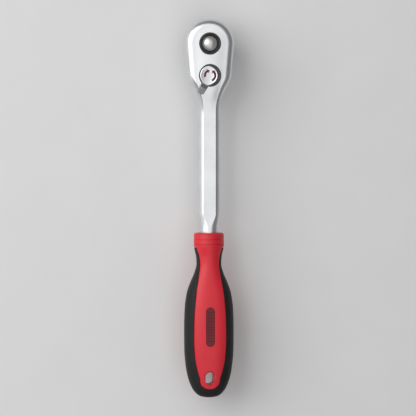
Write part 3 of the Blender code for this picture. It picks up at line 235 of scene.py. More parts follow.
INLAY_DISTANCE = -(INLAY_HIGH[1] + INLAY_LOW[1]) / 2
INLAY_GROOVES, INLAY_GROOVE_STEP = 11, 1.9 * MM


# Plane geometry


def arc(centre, radius, start, end, steps):
    """Points along an arc, both ends included. Angles are from the X axis."""
    angles = [start + (end - start) * i / steps for i in range(steps + 1)]
    return [(centre[0] + radius * math.cos(a), centre[1] + radius * math.sin(a)) for a in angles]


def smooth(t):
    t = min(1.0, max(0.0, t))
    return t * t * (3 - 2 * t)


def mix(a, b, t):
    return a + (b - a) * t


def spread(start, end, steps):
    """Evenly spaced values, both ends included."""
    return [mix(start, end, i / steps) for i in range(steps + 1)]


def mirrored(half):
    """A closed outline from its right half. The half's first and last points are put on the centre line."""
    side = half[1:-1]
    return [(0.0, half[0][1])] + side + [(0.0, half[-1][1])] + [(-x, y) for x, y in reversed(side)]


def stadium(half_width, length, centre_y, steps=16):
    """A slot outline along Y with round ends."""
    reach = length / 2 - half_width
    top = arc((0, centre_y + reach), half_width, 0, math.pi, steps)
    return top + arc((0, centre_y - reach), half_width, math.pi, math.tau, steps)


def along(stations, distance):
    """Values between stations of (distance, value, ...), by a cubic that never swings past a station."""
    last = len(stations) - 1
    i = next((k for k in range(last) if distance <= stations[k + 1][0]), last - 1)
    x0, x1 = stations[i][0], stations[i + 1][0]
    t = min(1.0, max(0.0, (distance - x0) / (x1 - x0)))

    def slope(k, column):
        if k in (0, last):
            return 0.0
        before, here, after = stations[k - 1], stations[k], stations[k + 1]
        left = (here[column] - before[column]) / (here[0] - before[0])
        right = (after[column] - here[column]) / (after[0] - here[0])
        return 0.0 if left * right <= 0 else 2 * left * right / (left + right)

    values = []
    for column in range(1, len(stations[0])):
        y0, y1 = stations[i][column], stations[i + 1][column]
        m0, m1 = slope(i, column) * (x1 - x0), slope(i + 1, column) * (x1 - x0)
        values.append(
            y0 * (1 + 2 * t) * (1 - t) ** 2 + m0 * t * (1 - t) ** 2
            + y1 * t * t * (3 - 2 * t) + m1 * t * t * (t - 1)
        )
    return values


def quarter(steps):
    """Angles from 0 to a right angle."""
    return spread(0, math.pi / 2, steps)


def rounded_box(half_width, half_height, radius, steps, grow=0.0):
    """A rectangle about the origin with rounded corners, grown outwards by a clearance."""
    outline = []
    for turn, (sx, sy) in enumerate(((1, 1), (-1, 1), (-1, -1), (1, -1))):
        start = turn * math.pi / 2
        centre = (sx * (half_width - radius), sy * (half_height - radius))
        outline += arc(centre, radius + grow, start, start + math.pi / 2, steps)
    return outline


# Solids


def prism(outline, low, high):
    bm = bmesh.new()
    face = bm.faces.new([bm.verts.new((x, y, low)) for x, y in outline])
    grown = bmesh.ops.extrude_face_region(bm, geom=[face])["geom"]
    moved = [v for v in grown if isinstance(v, bmesh.types.BMVert)]
    bmesh.ops.translate(bm, verts=moved, vec=(0, 0, high - low))
    return bm


def turned(profile, segments, closed=False):
    """A profile of (radius, height) points spun about Z. It is closed, or starts and ends on the axis."""
    bm = bmesh.new()
    verts = [bm.verts.new((r, 0, z)) for r, z in profile]
    pairs = list(zip(verts, verts[1:]))
    if closed:
        pairs.append((verts[-1], verts[0]))
    edges = [bm.edges.new(pair) for pair in pairs]
    bmesh.ops.spin(
        bm, geom=verts + edges, axis=(0, 0, 1), cent=(0, 0, 0), angle=math.tau, steps=segments, use_merge=True
    )
    bmesh.ops.remove_doubles(bm, verts=bm.verts, dist=1e-7)
    return bm


def rod(radius, low, high, segments):
    return turned([(0, low), (radius, low), (radius, high), (0, high)], segments)


def loft(rings, capped=True):
    """A skin over closed rings of equally many points."""
    bm = bmesh.new()
    loops = [[bm.verts.new(p) for p in ring] for ring in rings]
    count = len(loops[0])
    for low, high in zip(loops, loops[1:]):
        for i in range(count):
            j = (i + 1) % count
            bm.faces.new((low[i], low[j], high[j], high[i]))
    if capped:
        bm.faces.new(loops[0])
        bm.faces.new(loops[-1])
    return bm


def placed(bm, at=(0, 0, 0), turn=None):
    """The same solid, turned and moved into place."""
    bmesh.ops.transform(bm, matrix=Matrix.Translation(at) @ (turn or Matrix.Identity(4)), verts=bm.verts)
    return bm


def spun(angle):
    return Matrix.Rotation(angle, 4, "Z")


def laid_towards(angle):
    """Turns a solid made along +Z so that it lies along the plan direction of that angle."""
    return spun(angle) @ Matrix.Rotation(math.pi / 2, 4, "Y")


def as_object(name, bm):
    bmesh.ops.recalc_face_normals(bm, faces=bm.faces)
    mesh = bpy.data.meshes.new(name)
    bm.to_mesh(mesh)
    bm.free()
    obj = bpy.data.objects.new(name, mesh)
    bpy.context.scene.collection.objects.link(obj)
    return obj


def carve(obj, *steps):
    """Applies booleans to the object one after another, each step an operation and its solid."""
    tools = []
    for number, (operation, bm) in enumerate(steps):
        tool = as_object(f"{obj.name}_tool_{number}", bm)
        modifier = obj.modifiers.new(tool.name, "BOOLEAN")
        modifier.operation = operation
        modifier.object = tool
        modifier.solver = "EXACT"
        tools.append(tool)
    bpy.context.view_layer.update()
    result = bpy.data.meshes.new_from_object(obj.evaluated_get(bpy.context.evaluated_depsgraph_get()))
    obj.modifiers.clear()
    obj.data = result
    for tool in tools:
        bpy.data.objects.remove(tool)


def cutting(*solids):
    return [("DIFFERENCE", bm) for bm in solids]


def joining(*solids):
    return [("UNION", bm) for bm in solids]


def hand_over(obj, finish, body, *nodes, slot=None, sharp=30):
    """Shades a finished piece, gives it its finish and puts it on its body in place of the plain nodes."""
    obj.data.shade_smooth()
    obj.data.set_sharp_from_angle(angle=math.radians(sharp))
    obj.data.materials.clear()
    obj.data.materials.append(FINISHES[finish])
    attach(obj, body)
    if nodes:
        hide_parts(*nodes)


# Finishes


class Value:
    """A shader socket that takes part in arithmetic: each operation adds its Math node."""

    def __init__(self, recipe, socket):
        self.recipe, self.socket = recipe, socket

    def math(self, operation, *others):
        return self.recipe.node("Math", {"operation": operation}, self, *others)

    def __add__(self, other):
        return self.math("ADD", other)

    def __sub__(self, other):
        return self.math("SUBTRACT", other)

    def __rsub__(self, other):
        return self.recipe.node("Math", {"operation": "SUBTRACT"}, other, self)

    def __mul__(self, other):
        return self.math("MULTIPLY", other)

    __radd__, __rmul__ = __add__, __mul__

    def span(self, from_low, from_high, to_low, to_high):
        return self.recipe.node("MapRange", {"clamp": True}, self, from_low, from_high, to_low, to_high)


class Recipe:
    """One material's node tree."""

    def __init__(self, name):
        self.material = bpy.data.materials.new(name)
        self.material.use_nodes = True
        self.tree = self.material.node_tree
        self.tree.nodes.clear()

    def node(self, kind, settings, *values, output=0, **named):
        """A node from its type, its settings and its sockets' values or links, in order or by name."""
        made = self.tree.nodes.new("ShaderNode" + kind)
        for key, setting in settings.items():
            setattr(made, key, setting)
        pairs = list(enumerate(values)) + [(key.replace("_", " "), value) for key, value in named.items()]
        for key, value in pairs:
            if isinstance(value, Value):
                self.tree.links.new(value.socket, made.inputs[key])
            else:
                made.inputs[key].default_value = value
        return Value(self, made.outputs[output]) if made.outputs else None

    def place(self, stretch=(1, 1, 1)):
        """Object position in metres, stretched."""
        here = self.node("TexCoord", {}, output=3)
        return self.node("Mapping", {}, here, Scale=stretch)

    def noise(self, scale, stretch=(1, 1, 1), detail=3.0):
        """Cloudy noise between 0 and 1. Scale is features per metre."""
        return self.node("TexNoise", {}, self.place(stretch), Scale=scale, Detail=detail, Roughness=0.55)

    def blend(self, share, a, b):
        """Colour a where share is 0 and b where it is 1."""
        return self.node("MixRGB", {"blend_type": "MIX"}, share, (*a, 1), (*b, 1))

    def bump(self, height, depth, strength=1.0, below=None):
        """Surface relief: height from 0 to 1 is depth metres."""
        normal = {"Normal": below} if below else {}
        return self.node("Bump", {}, Strength=strength, Distance=depth, Height=height, **normal)

    def surface(self, **sockets):
        shader = self.node("BsdfPrincipled", {}, **sockets)
        self.node("OutputMaterial", {}, shader)
        return self.material


def satin_chrome():
    """Satin chrome plate: bead-blasted grain, faint drawn polish, cloudy handling marks, a few hairlines."""
    r = Recipe("satin_chrome")
    clouds = r.noise(60, detail=4)
    grain = r.noise(5200, detail=2)
    drawn = r.noise(900, stretch=(1, 0.05, 1), detail=3)
    hairline = r.noise(1500, stretch=(1, 0.02, 1), detail=1).span(0.70, 0.74, 0, 1)
    colour = r.blend(clouds.span(0.35, 0.7, 0, 1), (0.80, 0.81, 0.82), (0.72, 0.73, 0.75))
    rough = 0.25 + clouds * 0.07 + drawn * 0.05 + hairline * 0.05
    relief = r.bump(grain, 0.004 * MM, 0.55, r.bump(drawn - hairline * 0.6, 0.004 * MM, 0.35))
    return r.surface(Base_Color=colour, Metallic=1.0, Roughness=rough, Normal=relief)


def dark_steel():
    """Black-oxide steel: blue-black, blotchy with oil, paler in patches. On the head's bore walls it serves as
    painted shade.
    """
    r = Recipe("dark_steel")
    blotch = r.noise(240, detail=5)
    grain = r.noise(4200, detail=2)
    colour = r.blend(blotch.span(0.35, 0.72, 0, 1), (0.055, 0.057, 0.062), (0.12, 0.12, 0.125))
    rough = 0.30 + blotch * 0.16
    return r.surface(Base_Color=colour, Metallic=0.9, Roughness=rough, Normal=r.bump(grain, 0.006 * MM, 0.6))


def bright_steel():
    """Turned steel: fine rings round the drive axis and a light polish."""
    r = Recipe("bright_steel")
    in_plan = r.node("VectorMath", {"operation": "MULTIPLY"}, r.place(), (1, 1, 0))
    radius = r.node("VectorMath", {"operation": "LENGTH"}, in_plan, output=1)
    rings = (radius * 26000).math("SINE") * 0.5 + 0.5
    clouds = r.noise(400, detail=4)
    rough = 0.34 + clouds * 0.10 + rings * 0.03
    colour = r.blend(clouds, (0.66, 0.655, 0.64), (0.56, 0.555, 0.55))
    return r.surface(Base_Color=colour, Metallic=1.0, Roughness=rough, Normal=r.bump(rings, 0.003 * MM, 0.35))


def spring_steel():
    r = Recipe("spring_steel")
    drawn = r.noise(2500, detail=3)
    colour = r.blend(drawn, (0.40, 0.39, 0.38), (0.28, 0.28, 0.29))
    relief = r.bump(drawn, 0.004 * MM, 0.5)
    return r.surface(Base_Color=colour, Metallic=1.0, Roughness=0.28 + drawn * 0.12, Normal=relief)


def red_plastic():
    """Glossy injection moulding: orange-peel, faint flow clouding and rubbed spots."""
    r = Recipe("red_plastic")
    flow = r.noise(45, stretch=(1, 0.35, 1), detail=3)
    peel = r.noise(900, detail=2)
    rubbed = r.noise(150, detail=5).span(0.55, 0.75, 0, 1)
    colour = r.blend(flow.span(0.3, 0.7, 0, 1), (0.74, 0.024, 0.040), (0.64, 0.015, 0.031))
    rough = 0.38 + rubbed * 0.10 + peel * 0.05
    relief = r.bump(peel, 0.012 * MM, 0.5)
    return r.surface(Base_Color=colour, Roughness=rough, Normal=relief, Specular_IOR_Level=0.42)


def black_rubber():
    """Soft-touch moulding: fine even stipple and a dry haze in patches."""
    r = Recipe("black_rubber")
    cells = r.node("TexVoronoi", {"feature": "F1"}, r.place(), Scale=1500.0)
    haze = r.noise(120, detail=5)
    colour = r.blend(haze.span(0.35, 0.75, 0, 1), (0.006, 0.006, 0.0066), (0.012, 0.012, 0.013))
    rough = 0.52 + haze * 0.16
    relief = r.bump(1 - cells, 0.12 * MM, 0.6)
    return r.surface(Base_Color=colour, Roughness=rough, Normal=relief, Specular_IOR_Level=0.35)


def tab_steel_painted_shade():
    """The thumb tab's steel, painted darker and greenish-grey: painted shade standing in for the dark reflection
    of its sloping faces.
    """
    r = Recipe("tab_steel_painted_shade")
    blotch = r.noise(500, detail=4)
    # Dark grey-green colour as painted shade for the reflection on the tab's slopes; the blotches between the two
    # tones are random.
    colour = r.blend(blotch.span(0.3, 0.7, 0, 1), (0.37, 0.40, 0.39), (0.26, 0.285, 0.275))
    return r.surface(Base_Color=colour, Metallic=0.85, Roughness=0.34 + blotch * 0.14)


def dark_plastic():
    """Matt dark red-brown moulding of the inlay."""
    r = Recipe("dark_plastic")
    grain = r.noise(2400, detail=3)
    haze = r.noise(300, detail=3)
    colour = r.blend(haze, (0.125, 0.016, 0.021), (0.175, 0.026, 0.033))
    relief = r.bump(grain, 0.01 * MM, 0.5)
    return r.surface(Base_Color=colour, Roughness=0.6 + grain * 0.15, Normal=relief, Specular_IOR_Level=0.3)


def seal_rubber():
    r = Recipe("seal_rubber")
    haze = r.noise(800, detail=3)
    colour = r.blend(haze, (0.016, 0.016, 0.016), (0.03, 0.03, 0.03))
    return r.surface(Base_Color=colour, Roughness=0.55 + haze * 0.15, Normal=r.bump(haze, 0.01 * MM, 0.4))


FINISHES = {
    finish.__name__: finish()
    for finish in (
        satin_chrome, dark_steel, tab_steel_painted_shade, bright_steel, spring_steel,
        red_plastic, black_rubber, dark_plastic, seal_rubber,
    )
}


# Head and shank


def side_angle(toe_radius, heel_radius, distance):
    """The plan angle at which a straight side leaves the toe circle for a heel circle further back."""
    return -math.asin((toe_radius - heel_radius) / distance)


def head_half_outline():
    """Right side of the forging in plan, from the toe back: (x, y, outward normal) at each point."""
    side = side_angle(HEAD_RADIUS, HEEL_RADIUS, HEEL_DISTANCE)
    hollow_x = SHANK_HALF_WIDTH + NECK_FILLET
    fall = math.sqrt((HEEL_RADIUS + NECK_FILLET) ** 2 - hollow_x**2)
    hollow = (hollow_x, -HEEL_DISTANCE - fall)
    meet = -math.atan2(fall, hollow_x)
    rows = []

    def sweep(centre, radius, start, end, steps, outward):
        for angle, (x, y) in zip(spread(start, end, steps), arc(centre, radius, start, end, steps)):
            rows.append((x, y, Vector((math.cos(angle), math.sin(angle))) * outward))

    sweep((0, 0), HEAD_RADIUS, math.pi / 2, side, 72, 1)
    x, y, outward = rows[-1]
    heel_x, heel_y = arc((0, -HEEL_DISTANCE), HEEL_RADIUS, side, side, 1)[0]
    for share in spread(0, 1, 24)[1:-1]:
        rows.append((mix(x, heel_x, share), mix(y, heel_y, share), outward))
    sweep((0, -HEEL_DISTANCE), HEEL_RADIUS, side, meet, 22, 1)
    rows.pop()
    sweep(hollow, NECK_FILLET, math.pi + meet, math.pi, 30, -1)
    for distance in spread(-rows[-1][1], TAPER_START, 30)[1:]:
        rows.append((SHANK_HALF_WIDTH, -distance, Vector((1, 0))))
    for share in spread(0, 1, 16)[1:]:
        width = mix(SHANK_HALF_WIDTH, ROUND_RADIUS, smooth(share))
        rows.append((width, -mix(TAPER_START, TAPER_END, share), Vector((1, 0))))
    for width, distance in ((ROUND_RADIUS, STEP_START), (TANG_HALF[0], STEP_END), (TANG_HALF[0], TANG_END)):
        rows.append((width, -distance, Vector((1, 0))))
    rows[0] = (0.0, HEAD_RADIUS, Vector((0, 1)))
    return rows


def corner(width, drop, power, steps):
    """An edge from side to top as (inset, fall) pairs. Power 2 is round, towards 1 it is a bevel."""
    share = 2 / power
    return [(width * (1 - math.cos(a) ** share), drop * (1 - math.sin(a) ** share)) for a in quarter(steps)]


def edge_section(distance, steps=14):
    """The forging's right edge at a distance behind the drive axis, upwards: (inset, height) pairs."""
    to_round = smooth((distance - TAPER_START) / (TAPER_END - TAPER_START))
    to_tang = smooth((distance - STEP_START) / (STEP_END - STEP_START))
    half = mix(mix(SHANK_HALF_HEIGHT, ROUND_RADIUS, to_round), TANG_HALF[1], to_tang)
    section = []
    for start, edge_run, head_edge, head_face, sign in (
        (UNDER_START, (UNDER_START, NECK_END), UNDER_EDGE, HEAD_BOTTOM, -1),
        (NECK_START, (EDGE_START, EDGE_END), HEAD_EDGE, HEAD_TOP - CROWN, 1),
    ):
        to_shank = smooth((distance - start) / (NECK_END - start))
        to_bevel = smooth((distance - edge_run[0]) / (edge_run[1] - edge_run[0]))
        face = mix(head_face, SHANK_MIDDLE + sign * half, to_shank)
        round_to = mix(ROUND_CORNER, TANG_CORNER, to_tang)
        width = mix(mix(head_edge, SHANK_BEVEL[0], to_bevel), round_to, to_round)
        drop = mix(mix(head_edge, SHANK_BEVEL[1], to_bevel), round_to, to_round)
        power = mix(mix(2.0, BEVEL_POWER, to_bevel), 2.0, to_round)
        pairs = [(inset, face - sign * fall) for inset, fall in corner(width, drop, power, steps)]
        section += pairs[::-1] if sign < 0 else pairs
    return section


def forging(across=14):
    """Pear head with a softly crowned top, hollow neck, bevelled shank and hidden tang, as one skin."""
    bm = bmesh.new()
    rights, lefts, tops, bottoms = [], [], [], []
    shares = spread(-1, 1, 2 * across)[1:-1]
    for i, (x, y, normal) in enumerate(head_half_outline()):
        right = [(x - normal.x * inset, y - normal.y * inset, z) for inset, z in edge_section(-y)]
        rights.append([bm.verts.new(p) for p in right])
        lefts.append(rights[-1] if i == 0 else [bm.verts.new((-p[0], p[1], p[2])) for p in right])
        for rows, edge, rise in ((tops, right[-1], CROWN), (bottoms, right[0], 0)):
            ahead = max(edge[1], 0)
            fade = 1 - smooth((-edge[1] - NECK_START) / (NECK_END - NECK_START))
            row = []
            for share in shares if i else ():
                rim = math.hypot(edge[0] * share, ahead) / math.hypot(edge[0], ahead)
                height = edge[2] + rise * fade * (1 - rim**2) ** 1.5
                row.append(bm.verts.new((edge[0] * share, edge[1], height)))
            rows.append(row)
    for i in range(len(rights) - 1):
        for side in (rights, lefts):
            for k in range(len(side[0]) - 1):
                bm.faces.new((side[i][k], side[i + 1][k], side[i + 1][k + 1], side[i][k + 1]))
        for rows, k in ((tops, -1), (bottoms, 0)):
            after = [lefts[i + 1][k], *rows[i + 1], rights[i + 1][k]]
            here = [lefts[i][k], *rows[i], rights[i][k]] if i else [rights[0][k]] * len(after)
            for j in range(len(after) - 1):
                corners = [here[j], here[j + 1], after[j + 1], after[j]]
                bm.faces.new(list(dict.fromkeys(corners)))
    bm.faces.new(rights[-1] + tops[-1][::-1] + lefts[-1][::-1] + bottoms[-1])
    return bm


def pear(toe_radius, heel_radius, steps=40):
    """A closed outline round the drive axis and the selector axis."""
    side = side_angle(toe_radius, heel_radius, SELECTOR_DISTANCE)
    half = arc((0, 0), toe_radius, math.pi / 2, side, steps)
    half += arc(SELECTOR_AXIS, heel_radius, side, -math.pi / 2, steps)
    return mirrored(half)


def lip(radius, floor, face, round_over, steps=6):
    """Profile of a pocket's wall with a rounded lip at the face, then up past the face and in to the axis."""
    points = [(radius, floor), (radius, face - round_over)]
    for a in quarter(steps)[1:]:
        points.append((radius + round_over * (1 - math.cos(a)), face - round_over * (1 - math.sin(a))))
    return points + [(radius + round_over, face + OVERSHOOT), (0, face + OVERSHOOT)]


def make_head():
    """The forging with its bores, the pawl's room, the recess for the cover and the screw holes."""
    head = as_object("head_forging", forging())
    heel = -COVER_LOW[1] - SELECTOR_DISTANCE + FIT
    recess = prism(pear(COVER_HIGH[1] + FIT, heel), HEAD_BOTTOM - OVERSHOOT, SEAT)
    bore = JOURNAL_RADIUS + FIT
    bore_face = HEAD_TOP - 0.15 * MM
    profile = [(0, SEAT - OVERSHOOT), (CHAMBER_RADIUS, SEAT - OVERSHOOT), (CHAMBER_RADIUS, ROOF)]
    profile += lip(bore, ROOF, bore_face, JOURNAL_LIP)
    drive_bore = turned(profile, 96)
    pocket = prism(pawl_pocket(), SEAT - OVERSHOOT, ROOF)
    neck = STEM_NECK_RADIUS + FIT
    disc_floor = DISC_BOTTOM - 0.2 * MM
    profile = [
        (0, SEAT - OVERSHOOT), (STEM_CHAMBER_RADIUS, SEAT - OVERSHOOT), (STEM_CHAMBER_RADIUS, ROOF),
        (neck, ROOF), (neck, disc_floor),
    ]
    profile += lip(DISC_POCKET_RADIUS, disc_floor, HEAD_TOP - 0.05 * MM, DISC_POCKET_LIP)
    selector_bore = placed(turned(profile, 96), SELECTOR_AXIS)
    pin_hole = placed(rod(PAWL_PIN_RADIUS + FIT, ROOF - OVERSHOOT, ROOF + 1.6 * MM + FIT, 32), PAWL_AXIS)
    carve(head, *cutting(recess, drive_bore, pocket, selector_bore, pin_hole, *screw_holes()))
    hand_over(head, "satin_chrome", "frame", "head_and_shank", sharp=32)
    # The walls of the drive bore and the lever's pocket get painted shade: a dark finish below their lips, where
    # the recesses fall into shadow.
    paint_wall_shade(head, Vector(), bore, bore_face - JOURNAL_LIP)
    paint_wall_shade(head, SELECTOR_AXIS, DISC_POCKET_RADIUS, HEAD_TOP - 0.05 * MM - DISC_POCKET_LIP)


def paint_wall_shade(head, axis, radius, wall_top):
    """Paints the wall of a bore dark below its lip with the dark steel finish: painted shade in the recess."""
    if len(head.data.materials) == 1:
        head.data.materials.append(FINISHES["dark_steel"])
    for face in head.data.polygons:
        inside = (face.center.xy - axis.xy).length < radius + 0.05 * MM
        wall = abs(face.normal.z) < 0.5 or face.center.z < wall_top - 1 * MM
        if inside and wall and HEAD_BOTTOM + 3 * MM < face.center.z < wall_top:
            face.material_index = 1


def pawl_pocket():
    """The room round the pawl, from the pawl's own box."""
    half, back_half = (PAWL_HIGH[0] - PAWL_LOW[0]) / 2 + 0.8 * MM, 4.6 * MM
    front, shoulder, back = -7 * MM, -12 * MM, -SELECTOR_DISTANCE + 3 * MM
    points = [(half, front), (half, shoulder), (back_half, back), (0, back)]
    points += [(-x, y) for x, y in points[:3]]
    return [points[i] for i in convex_hull_2d([Vector(p) for p in points])]


def screw_places():
    """Centres of the cover screws, from their boxes."""
    places = []
    for number in (1, 2, 3):
        low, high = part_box(f"cover_screw_{number}")
        places.append(Vector(((low[0] + high[0]) / 2, (low[1] + high[1]) / 2, 0)))
    return places


def screw_holes():
    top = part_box("cover_screw_1")[1][2] + 0.8 * MM
    return [placed(rod(SCREW_RADIUS + FIT, SEAT - OVERSHOOT, top, 32), place) for place in screw_places()]


# Cover, screws, drive and quick release


def rounded_prism(outline, low, high, round_over, steps=4):
    """A prism with a rounded rim at high, which may lie below low."""
    sign = 1 if high > low else -1
    loop = [Vector(p) for p in outline]
    count = len(loop)
    turning = sum(a.x * b.y - a.y * b.x for a, b in zip(loop, loop[1:] + loop[:1]))
    normals = []
    for i in range(count):
        run = (loop[(i + 1) % count] - loop[i - 1]).normalized()
        normals.append(Vector((run.y, -run.x)) * math.copysign(1, turning))
    rings = [[(p.x, p.y, low) for p in loop]]
    for a in quarter(steps):
        inset = round_over * (1 - math.cos(a))
        level = high - sign * round_over * (1 - math.sin(a))
        rings.append([(p.x - n.x * inset, p.y - n.y * inset, level) for p, n in zip(loop, normals)])
    return loft(rings)


def make_cover():
    """The pear-shaped underside plate: rounded rim, hub opening, stem and pin holes, sunk screws."""
    heel = -COVER_LOW[1] - SELECTOR_DISTANCE
    face, back = COVER_LOW[2], COVER_HIGH[2]
    plate = as_object("underside_cover", rounded_prism(pear(COVER_HIGH[1], heel), back, face, 0.35 * MM))
    hub = HUB_RADIUS + FIT
    seal_floor = back - 1.25 * MM
    profile = [
        (0, face - OVERSHOOT), (hub + 0.5 * MM, face - OVERSHOOT), (hub + 0.5 * MM, face),
        (hub + 0.08 * MM, face + 0.42 * MM), (hub, face + 0.5 * MM), (hub, seal_floor),
        (hub + 1.15 * MM, seal_floor), (hub + 1.15 * MM, back + OVERSHOOT), (0, back + OVERSHOOT),
    ]
    cuts = [turned(profile, 96)]
    holes = [(SCREW_HEAD_RADIUS + FIT, place) for place in screw_places()]
    holes += [(STEM_FOOT_RADIUS + FIT, SELECTOR_AXIS), (PAWL_PIN_RADIUS + FIT, PAWL_AXIS)]
    for radius, place in holes:
        wide = radius + 0.25 * MM
        profile = [
            (0, face - OVERSHOOT), (wide, face - OVERSHOOT), (wide, face), (radius, face + 0.25 * MM),
            (radius, back + OVERSHOOT), (0, back + OVERSHOOT),
        ]
        cuts.append(placed(turned(profile, 48), place))
    carve(plate, *cutting(*cuts))
    hand_over(plate, "satin_chrome", "frame", "cover_plate")


def make_screws():
    """Countersunk hexagon-socket screws with a rounded rim and a bevelled socket mouth."""
    for number, place in enumerate(screw_places(), 1):
        node = f"cover_screw_{number}"
        low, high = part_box(node)
        face, end = low[2], high[2]
        head, rim = SCREW_HEAD_RADIUS, SCREW_RIM
        profile = [
            (0, face), (head - rim, face), (head - rim * 0.3, face + rim * 0.3), (head, face + rim),
            (SCREW_RADIUS, face + head - SCREW_RADIUS + rim),
            (SCREW_RADIUS, end - 0.4 * MM), (SCREW_RADIUS - 0.4 * MM, end), (0, end),
        ]
        screw = as_object(f"cover_socket_screw_{number}", placed(turned(profile, 48), place))
        corner_reach = SCREW_KEY / 2 / math.cos(math.pi / 6)
        key = placed(rod(corner_reach, face - OVERSHOOT, face + 0.9 * MM, 6), place, spun(number))
        wide = corner_reach + OVERSHOOT
        mouth = [(0, face - OVERSHOOT), (wide, face - OVERSHOOT), (0, face + corner_reach)]
        carve(screw, *cutting(key, placed(turned(mouth, 48), place)))
        hand_over(screw, "dark_steel", "frame", node)


def gear_outline():
    points = []
    pitch = math.tau / GEAR_TEETH
    root = GEAR_RADIUS - TOOTH_DEPTH
    for tooth in range(GEAR_TEETH):
        middle = -math.pi / 2 + tooth * pitch
        for radius, share in ((root, -0.38), (GEAR_RADIUS, -0.1), (GEAR_RADIUS, 0.1), (root, 0.38)):
            angle = middle + share * pitch
            points.append((radius * math.cos(angle), radius * math.sin(angle)))
    return points


def square_ring(half, corner_radius, height, steps=8):
    return [(x, y, height) for x, y in rounded_box(half, half, corner_radius, steps)]


def make_drive():
    """Toothed wheel, hub, square and upper journal in one, bored for the quick release."""
    drive = as_object("square_drive", prism(gear_outline(), GEAR_BOTTOM, GEAR_TOP))
    rim = 0.35 * MM
    face = SQUARE_LENGTH
    hub = [(0, face)]
    hub += [(HUB_RADIUS - rim + rim * math.sin(a), face + rim - rim * math.cos(a)) for a in quarter(5)]
    hub += [(HUB_RADIUS, GEAR_BOTTOM + OVERSHOOT), (0, GEAR_BOTTOM + OVERSHOOT)]
    top = JOURNAL_TOP
    bevel = rim * 0.6
    journal = [(0, GEAR_TOP - OVERSHOOT), (JOURNAL_RADIUS, GEAR_TOP - OVERSHOOT)]
    journal += [(JOURNAL_RADIUS, top - bevel), (JOURNAL_RADIUS - bevel, top), (0, top)]
    half = SQUARE / 2
    rings = []
    for inset, height in ((0.92, 0), (0.70, 0.06), (0.14, 0.78), (0.03, 0.96), (0, 1.15)):
        inset *= SQUARE_LEAD * 0.75
        rings.append(square_ring(half - inset, SQUARE_CORNER - inset * 0.4, height * SQUARE_LEAD))
    fillet = 0.2 * MM
    rings.append(square_ring(half, SQUARE_CORNER, face - fillet))
    for a in quarter(4)[1:]:
        flare = fillet * (1 - math.cos(a))
        rings.append(square_ring(half + flare, SQUARE_CORNER + flare, face - fillet * (1 - math.sin(a))))
    rings.append(square_ring(half + fillet, SQUARE_CORNER + fillet, face + OVERSHOOT / 2))
    dish_floor = top - DISH_DEPTH
    groove_low, groove_high = RING_LOW[2] - FIT, RING_HIGH[2] + FIT
    groove = RING_HIGH[0] + FIT
    spring_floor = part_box("release_spring")[0][2] - FIT
    bore = [
        (0, 1.8 * MM), (PIN_BORE, 2.4 * MM), (PIN_BORE, spring_floor), (BUTTON_BORE, spring_floor),
        (BUTTON_BORE, groove_low), (groove, groove_low), (groove, groove_high), (BUTTON_BORE, groove_high),
        (BUTTON_BORE, dish_floor), (BUTTON_BORE + 0.15 * MM, dish_floor + 0.05 * MM),
        (DISH_RADIUS - 0.25 * MM, top - 0.25 * MM), (DISH_RADIUS, top), (DISH_RADIUS, top + OVERSHOOT),
        (0, top + OVERSHOOT),
    ]
    ball_bore = BALL_RADIUS + FIT
    bevelled = BALL_MOUTH + 0.16 * MM
    ball_hole = [
        (0, 0), (ball_bore, 0), (ball_bore, half - 0.7 * MM), (BALL_MOUTH, half - 0.1 * MM),
        (bevelled, half), (bevelled, half + OVERSHOOT), (0, half + OVERSHOOT),
    ]
    ball_turn = laid_towards(math.pi / 2)
    cuts = cutting(turned(bore, 72), placed(turned(ball_hole, 48), (0, 0, BALL_PLACE.z), ball_turn))
    carve(drive, *joining(turned(hub, 96), turned(journal, 96), loft(rings)), *cuts)
    hand_over(drive, "dark_steel", "drive", "drive_gear")


def make_button():
    """Domed push button with a rounded rim, a turned step and the skirt under the ring."""
    top, skirt_low = BUTTON_HIGH[2], BUTTON_LOW[2]
    edge = top - BUTTON_DOME
    rim = 0.4 * MM
    inner = BUTTON_RADIUS - rim
    crown = BUTTON_DOME * 0.72
    profile = [(0, top)]
    profile += [(inner * s, top - crown * s**2) for s in spread(0, 1, 20)[1:]]
    start = math.atan2(2 * crown, inner)
    for a in spread(start, math.pi / 2, 7)[1:]:
        out, down = math.sin(a) - math.sin(start), math.cos(start) - math.cos(a)
        profile.append((inner + rim * out / (1 - math.sin(start)), top - crown - rim * down))
    skirt_top = RING_LOW[2] - 0.2 * MM
    skirt = BUTTON_HIGH[0]
    hole = PIN_STEM_RADIUS + FIT
    profile += [
        (BUTTON_RADIUS, skirt_top), (skirt, skirt_top), (skirt, skirt_low),
        (hole, skirt_low), (hole, edge - FIT), (0, edge - FIT),
    ]
    button = as_object("push_button", turned(profile, 96))
    hand_over(button, "bright_steel", "button", "release_button")


